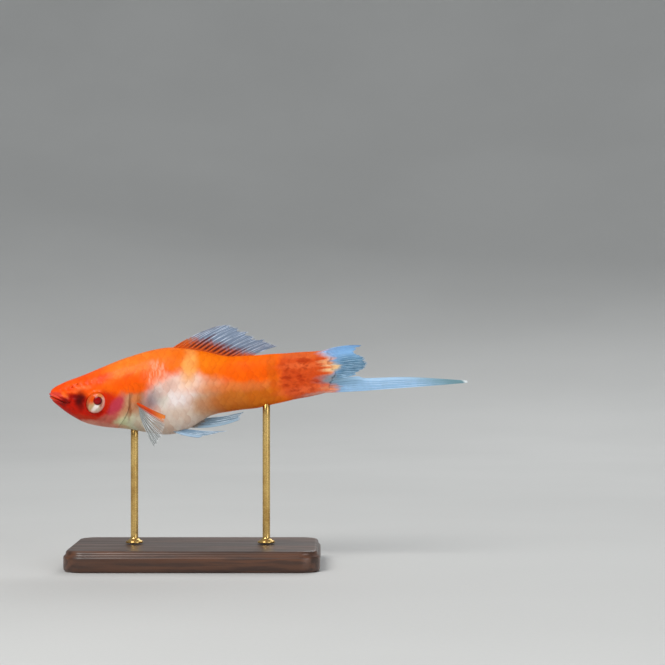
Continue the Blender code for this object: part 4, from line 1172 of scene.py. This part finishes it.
def rayLines(name):
    # The rays of a fin as lines: each runs out from the root and forks twice on its way.
    places = raysAt[name]
    first, second = rayForm["firstFork"], rayForm["secondFork"]
    if name == "sword":
        first, second = rayForm["swordForks"]
    lines = []
    for share, gap in zip(places, np.gradient(places)):
        stout = random.uniform(0.85, 1.15)
        lines.append((share, 0.0, share, first + 0.03, stout))
        forks = (-1, 1) if second < 1 else (0,)
        for fork in forks:
            spread = share + fork * rayForm["forkSpread"] * gap
            lines.append((share, first, spread, min(second + 0.03, 1), stout))
            if second < 1:
                for tine in (-1, 1):
                    stray = tine * rayForm["tineSpread"] + random.normal(0, rayForm["tineStray"])
                    tip = spread + (fork * rayForm["forkTipSpread"] + stray) * gap
                    reach = min(1.0, float(freeEdge(name, tip)) + 0.02 * random.uniform())
                    lines.append((spread, second, tip, reach, stout))
    return lines


def makeRays(name, material):
    vertices, edges, radii, marks = [], [], [], []
    first, second = rayForm["firstFork"], rayForm["secondFork"]
    forks = (first, first + 0.1, second, second + 0.1)
    for start, t0, end, t1, stout in rayLines(name):
        steps = max(3, int(round((t1 - t0) * 16)) + 1)
        t = np.linspace(t0, t1, steps)
        ease = ramp(0, 1, (t - t0) / (t1 - t0)) if end != start else 0 * t
        share = np.clip(start + (end - start) * ease, 0, 1)
        line = finPoint(name, share, t)
        radius = rayForm["rootRadius"] + (rayForm["tipRadius"] - rayForm["rootRadius"]) * t
        if name != "sword":
            radius = radius * np.interp(t, forks, (1.0, 0.82, 0.82, 0.70))
        radius = radius * (1 + finForms[name].get("stout", 0.3) * (1 - ramp(0.0, 0.22, share)))
        if name.startswith("pectoral"):
            radius = radius * (0.3 + 0.7 * ramp(0.0, 0.22, t))
        start = len(vertices)
        vertices += list(line)
        edges += [(start + k, start + k + 1) for k in range(steps - 1)]
        radii += list(radius * stout / 1000)
        cells = np.interp(share, raysAt[name], np.arange(len(raysAt[name])))
        marks += list(zip(share, t, cells))
    rays = newPiece(name + "Rays", vertices, [], edges)
    giveValues(rays, "rayRadius", radii)
    giveValues(rays, "finPlace", marks, "FLOAT_VECTOR")
    lined = rays.modifiers.new("rays", "NODES")
    lined.node_group = rayTreeMade
    lined[rayInputs["Sides"]] = rayForm["sides"]
    lined[rayInputs["Finish"]] = material
    frozen(rays)
    return rays


webForm = {
    "columnsPerRay": 8,
    "rows": 33,
    "thickness": 0.00004,  # metres
}


def makeWeb(name):
    # The thin skin between the rays, with a ragged free edge.
    count = finForms[name]["rays"]
    columns, rows = (count - 1) * webForm["columnsPerRay"] + 1, webForm["rows"]
    cell = np.linspace(0, count - 1, columns)
    share = np.interp(cell, np.arange(count), raysAt[name])
    notch = 0.0 if name == "sword" else 0.012 + 0.035 * np.sin(math.pi * (cell % 1)) ** 0.7
    t = np.linspace(0, 1, rows)[None, :] * (freeEdge(name, share) - notch)[:, None]
    points = finPoint(name, share[:, None] + 0 * t, t)
    faces = []
    for i in range(columns - 1):
        for j in range(rows - 1):
            a = i * rows + j
            faces.append((a, a + 1, a + rows + 1, a + rows))
    web = newPiece(name + "Web", points.reshape(-1, 3), faces)
    marks = np.stack([share[:, None] + 0 * t, t, cell[:, None] + 0 * t], axis=-1).reshape(-1, 3)
    giveValues(web, "finPlace", marks, "FLOAT_VECTOR")
    shell = web.modifiers.new("shell", "SOLIDIFY")
    shell.thickness = webForm["thickness"]
    shell.offset = 0.0
    return frozen(web)


finPaint = {
    # colours at the root (none: as the body's markings), at the margin, along the leading rays and
    # as streaks on the rays; how far the root colour reaches; how much the skin lets through
    "dorsal": {
        "root": (208, 90, 14), "rim": (128, 146, 172), "lead": (196, 118, 70), "streak": (206, 218, 236),
        "reach": (0.22, 0.50), "leadReach": 0.12, "leadEnd": 0.62, "clear": 0.12,
        "dark": (92, 12, 0), "darkReach": 0.50,
    },
    "tail": {
        "root": None, "rim": (90, 136, 168), "lead": (136, 184, 232), "streak": (176, 208, 234),
        "reach": (0.30, 0.55), "leadReach": 0.34, "leadEnd": 1.5, "clear": 0.10,
    },
    "sword": {
        "root": None, "rim": (164, 204, 240), "lead": (178, 212, 242), "streak": (200, 226, 250),
        "reach": (0.07, 0.18), "leadReach": 0.20, "leadEnd": 1.5, "clear": 0.03, "tip": (112, 150, 158),
        "rootShade": ((69.6, -2.5), (4.4, 1.1), (116, 150, 174)), "ragged": 0.04,
    },
    "anal": {
        "root": (150, 136, 124), "rim": (128, 154, 174), "lead": (156, 182, 202), "streak": (210, 226, 240),
        "reach": (0.14, 0.32), "leadReach": 0.24, "leadEnd": 1.5, "clear": 0.08,
        "dark": (92, 66, 52), "darkReach": 0.30,
    },
    "pelvic": {
        "root": (150, 160, 168), "rim": (126, 156, 182), "lead": (160, 188, 212), "streak": (216, 232, 246),
        "reach": (0.08, 0.26), "leadReach": 0.24, "leadEnd": 1.5, "clear": 0.08,
    },
    "pectoral": {
        "root": (186, 180, 160), "rim": (156, 162, 162), "lead": (212, 68, 4), "streak": (228, 232, 236),
        "reach": (-1.0, -0.5), "leadReach": 0.20, "leadEnd": 1.3, "clear": 0.50,
        "leadFar": (232, 130, 52), "window": 0.40,
    },
}


def finMaterial(family, part):
    # Rays and the skin between them share one paint; only the skin is see-through.
    paint = finPaint[family]
    material, shader, wiring = newMaterial(
        family + part.capitalize(), Roughness=0.38, Specular_IOR_Level=0.2, Coat_Weight=0.08
    )
    place = wiring.fishAxes()
    share, t, across = wiring.parts(wiring.given("finPlace", "Vector"))
    cell = wiring.math("FRACT", wiring.math("ADD", across, 0.5))
    gap = wiring.math("ABSOLUTE", wiring.math("SUBTRACT", cell, 0.5))  # 0 on a ray, one half between two
    ragged = wiring.math("SUBTRACT", wiring.noise(place, 1.4, 3.0), 0.5)
    out = wiring.math("ADD", t, wiring.times(ragged, paint.get("ragged", 0.35)))
    root = tone(*paint["root"]) if paint["root"] else marked(wiring)
    shaded = tone(*[c * 0.86 for c in paint["rim"]])
    rim = wiring.blend(wiring.noise(place, 0.8, 3.0), shaded, tone(*paint["rim"]))
    reach, end = paint["leadReach"], paint["leadEnd"]
    lead = wiring.times(wiring.spread(share, reach * 1.5, reach * 0.5), wiring.spread(out, end, end - 0.3))
    ahead = tone(*paint["lead"])
    if "leadFar" in paint:
        ahead = wiring.blend(wiring.spread(t, 0.55, 0.95), ahead, tone(*paint["leadFar"]))
    rim = wiring.blend(lead, rim, ahead)
    if part == "rays":
        # Pale streaks where a noise that runs along the rays is high.
        runs = wiring.put("ShaderNodeCombineXYZ", {0: wiring.times(across, 1.7), 1: wiring.times(t, 3.0)})
        streaky = wiring.times(
            wiring.spread(out, 0.25, 0.6, 0.0, 0.9), wiring.math("SUBTRACT", 1.0, lead),
            wiring.spread(wiring.noise(runs, 1.0, 3.0), 0.35, 0.62, 0.15, 1.0),
        )
        rim = wiring.blend(streaky, rim, tone(*paint["streak"]))
    colour = wiring.blend(wiring.spread(out, *paint["reach"]), root, rim)
    if "dark" in paint and part == "web":
        # Dark tongues between the rays, each of its own length.
        wires = {"W": wiring.math("FLOOR", across)}
        chance = wiring.put("ShaderNodeTexWhiteNoise", wires, noise_dimensions="1D").outputs["Value"]
        far = wiring.math("ADD", out, wiring.times(chance, 0.22))
        tongue = wiring.times(
            wiring.spread(far, paint["darkReach"] + 0.20, paint["darkReach"] - 0.06),
            wiring.spread(t, 0.10, 0.2), wiring.spread(share, 0.10, 0.25), wiring.spread(share, 0.95, 0.7),
            wiring.spread(gap, 0.12, 0.42, 0.15, 1.0),
        )
        colour = wiring.blend(tongue, colour, tone(*paint["dark"]))
    if "rootShade" in paint:
        middle, size, shown = paint["rootShade"]
        shade = wiring.times(wiring.patch(place, middle, size, -3, 0.7), 0.75)
        colour = wiring.blend(shade, colour, tone(*shown))
    if "tip" in paint:
        colour = wiring.blend(wiring.spread(out, 0.68, 0.95, 0.0, 0.9), colour, tone(*paint["tip"]))
        colour = wiring.blend(wiring.spread(t, 0.972, 0.99), colour, tone(228, 236, 238))
    if part == "rays":
        joints = wiring.math("SINE", wiring.times(t, 260.0))
        wiring.finish(shader, colour, None, joints, 0.3, 0.00002)
        return material
    see = wiring.spread(t, 0.1, 0.9, 1 - paint["clear"] * 0.6, 1 - paint["clear"])
    see = wiring.math("SUBTRACT", see, wiring.times(gap, 0.12))
    if "window" in paint:
        window = wiring.times(wiring.spread(share, 0.14, 0.26), wiring.spread(share, 0.72, 0.45))
        see = wiring.math("SUBTRACT", see, wiring.times(window, paint["window"]))
    see = wiring.math("ADD", see, wiring.times(lead, 0.6), clamp=True)
    wiring.feed(shader.inputs["Alpha"], see)
    folds = wiring.math("COSINE", wiring.times(cell, 2 * math.pi))
    grain = wiring.math("ADD", folds, wiring.noise(place, 5.0, 2.0))
    wiring.finish(shader, colour, None, grain, 0.35, 0.00003)
    return material


def makeFins():
    materials = {}
    for name, form in finForms.items():
        family = name.replace("Left", "").replace("Right", "")
        for part in ("web", "rays"):
            if (family, part) not in materials:
                materials[family, part] = finMaterial(family, part)
        slot = "orange_fin" if family in ("dorsal", "pectoral") else "blue_fin"
        finished(makeWeb(name), materials[family, "web"], slot, form["node"])
        finished(makeRays(name, materials[family, "rays"]), materials[family, "rays"], slot)
        print(name, "fin made")


makeFins()


eyeForm = {
    "halves": (2.64, 2.22),  # half its length and half its width; the length leans back as headForm says
    "depth": 1.22,
    "sunk": 0.46,
    "pupil": 1.05,
    "pupilAt": (0.80, 0.62),
    "rings": 56,
    "turns": 72,
}
# As the markings, but in millimetres behind and above the eye's middle.
eyeMarks = (
    ("lidAbove", (226, 88, 16), (-0.9, 1.7), (2.6, 1.1), 30, 0.5, 0.9),
    ("lidBehind", (132, 40, 12), (2.3, -1.0), (2.0, 0.7), 62, 0.6, 0.85),
    ("whiteRing", (238, 166, 150), (0.36, 0.06), (2.56, 1.96), 55, 0.07, 1.0),
    ("ringAbove", (226, 104, 40), (0.2, 1.9), (2.0, 1.1), 20, 0.5, 1.0),
    ("ringFront", (168, 92, 58), (-1.8, 0.0), (1.7, 0.55), 62, 0.5, 0.9),
    ("iris", (208, 180, 148), (0.30, 0.08), (2.06, 1.36), 55, 0.14, 1.0),
    ("irisFront", (190, 160, 112), (-0.9, -0.4), (1.5, 0.6), 62, 0.5, 0.85),
    ("irisAbove", (222, 80, 14), (-0.2, 1.2), (1.5, 0.85), 40, 0.6, 1.0),
    ("irisTop", (216, 124, 60), (1.3, 1.6), (0.8, 0.6), 30, 0.6, 0.85),
    ("irisBehind", (170, 84, 70), (1.45, -0.45), (0.8, 0.22), 62, 0.6, 0.8),
    ("irisLow", (206, 196, 178), (0.5, -1.5), (0.8, 0.4), 30, 0.6, 0.7),
    # Painted highlight: a white glint below and in front of the pupil, spread lower by the next patch.
    ("paintedHighlight", (250, 240, 236), (0.3, -0.72), (0.66, 0.46), 45, 0.5, 1.0),
    ("lowPaintedHighlight", (246, 230, 222), (-0.35, -1.3), (0.80, 0.40), 40, 0.7, 0.9),
)


def eyeMaterial():
    material, shader, wiring = newMaterial(
        "eyeGloss", Roughness=0.25, Specular_IOR_Level=0.08, Coat_Weight=0.22, Coat_Roughness=0.03
    )
    place = wiring.given("eyePlace", "Vector")
    near = wiring.shifted(place, wiring.noise(place, 1.6, 2.0, colour=True), 0.22)
    behind, _, above = wiring.parts(place)
    # Fine strands run out from the eye's middle.
    turn = wiring.times(wiring.math("ARCTAN2", above, behind), 14.0)
    strands = wiring.noise(wiring.put("ShaderNodeCombineXYZ", {0: turn, 1: wiring.length(place)}), 1.0, 3.0)
    colour = wiring.painted(tone(196, 56, 22), near, eyeMarks)
    dull = wiring.tinted(colour, 0.78, 0.70, 0.68)
    colour = wiring.blend(wiring.spread(strands, 0.35, 0.7, 0.0, 0.30), colour, dull)
    pupil, (a, b) = eyeForm["pupil"], eyeForm["pupilAt"]
    rim = wiring.patch(near, (a, b), (pupil, pupil * 0.96), 0, 0.08)
    core = wiring.patch(near, (a - 0.12, b + 0.08), (pupil * 0.78, pupil * 0.76), 0, 0.3)
    colour = wiring.blend(rim, colour, tone(92, 4, 14))
    colour = wiring.blend(core, colour, tone(146, 0, 8))
    wiring.finish(shader, colour, None, strands, 0.15, 0.00002)
    return material


def makeEyes():
    material = eyeMaterial()
    rings, turns = eyeForm["rings"], eyeForm["turns"]
    eyeS, eyeH = headForm["eye"]
    for side, word in ((-1, "left"), (1, "right")):
        along, height = np.array(eyeS), np.array(eyeH)
        outward = flankNormal(along, height, side)
        forward = np.cross(outward, [0, 0, -side])
        forward /= np.linalg.norm(forward)
        upward = np.cross(forward, outward) * -side
        upward *= np.sign(upward[2])
        forward *= np.sign(forward[0])
        centre = np.array([eyeS, side * float(flankWidth(along, height)), eyeH])
        centre = centre - outward * eyeForm["sunk"]
        points, marks = [], []
        tilt = math.radians(headForm["eyeTilt"])
        for ring in range(rings + 1):
            polar = math.pi * ring / rings
            for k in range(turns if 0 < ring < rings else 1):
                angle = 2 * math.pi * k / turns
                p = eyeForm["halves"][0] * math.sin(polar) * math.cos(angle)
                q = eyeForm["halves"][1] * math.sin(polar) * math.sin(angle)
                a, b = p * math.cos(tilt) - q * math.sin(tilt), p * math.sin(tilt) + q * math.cos(tilt)
                out = eyeForm["depth"] * math.cos(polar)
                if polar < math.pi / 2:
                    # The lens stands a little proud in the pupil, and the iris dips beside it.
                    away = math.hypot(a - eyeForm["pupilAt"][0], b - eyeForm["pupilAt"][1])
                    out += 0.07 * float(ramp(eyeForm["pupil"] + 0.10, eyeForm["pupil"] - 0.35, away))
                    out -= 0.05 * float(hump(away - eyeForm["pupil"] - 0.25, 0.22))
                points.append(centre + forward * a + upward * b + outward * out)
                marks.append((a, 0, b))
        faces = [(0, 1 + k, 1 + (k + 1) % turns) for k in range(turns)]
        faces += bandFaces(1, rings - 1, turns)
        last = len(points) - 1
        faces += [(last - turns + k, last, last - turns + (k + 1) % turns) for k in range(turns)]
        if side > 0:
            faces = [f[::-1] for f in faces]
        eye = newPiece("eye" + word.capitalize(), points, faces)
        giveValues(eye, "eyePlace", marks, "FLOAT_VECTOR")
        finished(eye, material, "eye", "eye_" + word)
    print("eyes made")


makeEyes()


def woodMaterial():
    material, shader, wiring = newMaterial("darkWood", Coat_Weight=0.25, Coat_Roughness=0.25)
    place = wiring.put("ShaderNodeTexCoord").outputs["Object"]
    wires = {"Vector": place, "Scale": (60.0, 900.0, 900.0), "Rotation": (0.0, 0.0, 0.03)}
    stretched = wiring.put("ShaderNodeMapping", wires)
    grain = wiring.noise(stretched, 1.0, 6.0, 0.6)
    wires = {"Vector": place, "Scale": (18.0, 260.0, 260.0)}
    bands = wiring.noise(wiring.put("ShaderNodeMapping", wires), 1.0, 2.0)
    colour = wiring.blend(wiring.spread(bands, 0.3, 0.7), tone(58, 34, 22), tone(98, 60, 38))
    pores = wiring.spread(grain, 0.42, 0.62)
    colour = wiring.blend(wiring.times(pores, 0.65), colour, tone(38, 21, 14))
    wiring.finish(shader, colour, wiring.spread(grain, 0.3, 0.7, 0.32, 0.5), grain, 0.3, 0.00008)
    return material


def brassMaterial():
    material, shader, wiring = newMaterial("brushedBrass", Metallic=1.0)
    place = wiring.put("ShaderNodeTexCoord").outputs["Object"]
    wires = {"Vector": place, "Scale": (500.0, 500.0, 12000.0)}
    brush = wiring.noise(wiring.put("ShaderNodeMapping", wires), 1.0, 3.0)
    tarnish = wiring.noise(place, 220.0, 3.0)
    colour = wiring.blend(wiring.spread(tarnish, 0.35, 0.75), tone(226, 190, 118), tone(176, 134, 70))
    wiring.finish(shader, colour, wiring.spread(brush, 0.3, 0.7, 0.18, 0.36), brush, 0.15, 0.00002)
    return material


standForm = {
    "cornerRadius": 5.0,
    "cornerSteps": 12,
    # inset in millimetres and share of the height, from the underside round the moulded edge to the top
    "edge": ((0.9, 0.0), (0.35, 0.02), (0.05, 0.10), (0.0, 0.22), (0.0, 0.62), (0.06, 0.70), (0.28, 0.76),
             (0.52, 0.79), (0.56, 0.86), (0.66, 0.93), (0.90, 0.985), (1.3, 1.0)),
    "rodTurns": 48,
    "rodRadius": 0.9,
    "rodInFlesh": 0.9,
    # radius and height of the turned foot, out from its middle and up to the rod
    "foot": ((0.0, 0.0), (2.04, 0.0), (2.1, 0.12), (2.1, 0.34), (2.0, 0.50), (1.62, 0.60), (1.55, 0.72),
             (1.42, 0.86), (1.1, 0.97), (0.98, 1.12), (0.9, 1.4)),
}


def inMetres(points):
    return np.asarray(points) / 1000


def makePlinth(wood):
    low, high = [1000 * np.array(corner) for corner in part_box("stand_base")]
    radius, steps = standForm["cornerRadius"], standForm["cornerSteps"]
    points = []
    for inset, rise in standForm["edge"]:
        for quarter, (sx, sy) in enumerate(((1, 1), (-1, 1), (-1, -1), (1, -1))):
            cx = (high[0] - radius) if sx > 0 else (low[0] + radius)
            cy = (high[1] - radius) if sy > 0 else (low[1] + radius)
            for k in range(steps + 1):
                angle = math.pi / 2 * (quarter + k / steps)
                reach = radius - inset
                z = low[2] + rise * (high[2] - low[2])
                points.append((cx + reach * math.cos(angle), cy + reach * math.sin(angle), z))
    turns, rings = 4 * (steps + 1), len(standForm["edge"])
    faces = bandFaces(0, rings, turns, flipped=True)
    top = (rings - 1) * turns
    faces += [tuple(range(turns))[::-1], tuple(range(top, top + turns))]
    plinth = newPiece("stand_plinth", points, faces, place=inMetres)
    for face in plinth.data.polygons[-2:]:
        face.use_smooth = False
    finished(plinth, wood, "dark_wood", "stand_base")


def makeRods(brass):
    turns = standForm["rodTurns"]
    for end in ("front", "rear"):
        low, high = [1000 * np.array(corner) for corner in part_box("stand_rod_" + end)]
        middle = (low + high) / 2
        top = high[2] + standForm["rodInFlesh"]
        shape = [(r, low[2] + z) for r, z in standForm["foot"]]
        shape += [(standForm["rodRadius"], z) for z in np.linspace(low[2] + 2.4, top - 0.1, 12)]
        shape += [(0.8, top), (0.0, top)]
        points = [(middle[0], middle[1], low[2])]
        for radius, z in shape[1:-1]:
            for k in range(turns):
                angle = 2 * math.pi * k / turns
                points.append((middle[0] + radius * math.cos(angle), middle[1] + radius * math.sin(angle), z))
        points.append((middle[0], middle[1], top))
        faces = [(0, 1 + (k + 1) % turns, 1 + k) for k in range(turns)]
        faces += bandFaces(1, len(shape) - 2, turns, flipped=True)
        last = len(points) - 1
        faces += [(last, last - turns + k, last - turns + (k + 1) % turns) for k in range(turns)]
        rod = newPiece("stand_rod" + end.capitalize(), points, faces, place=inMetres)
        finished(rod, brass, "brass", "stand_rod_" + end)


makePlinth(woodMaterial())
makeRods(brassMaterial())
print("stand made")
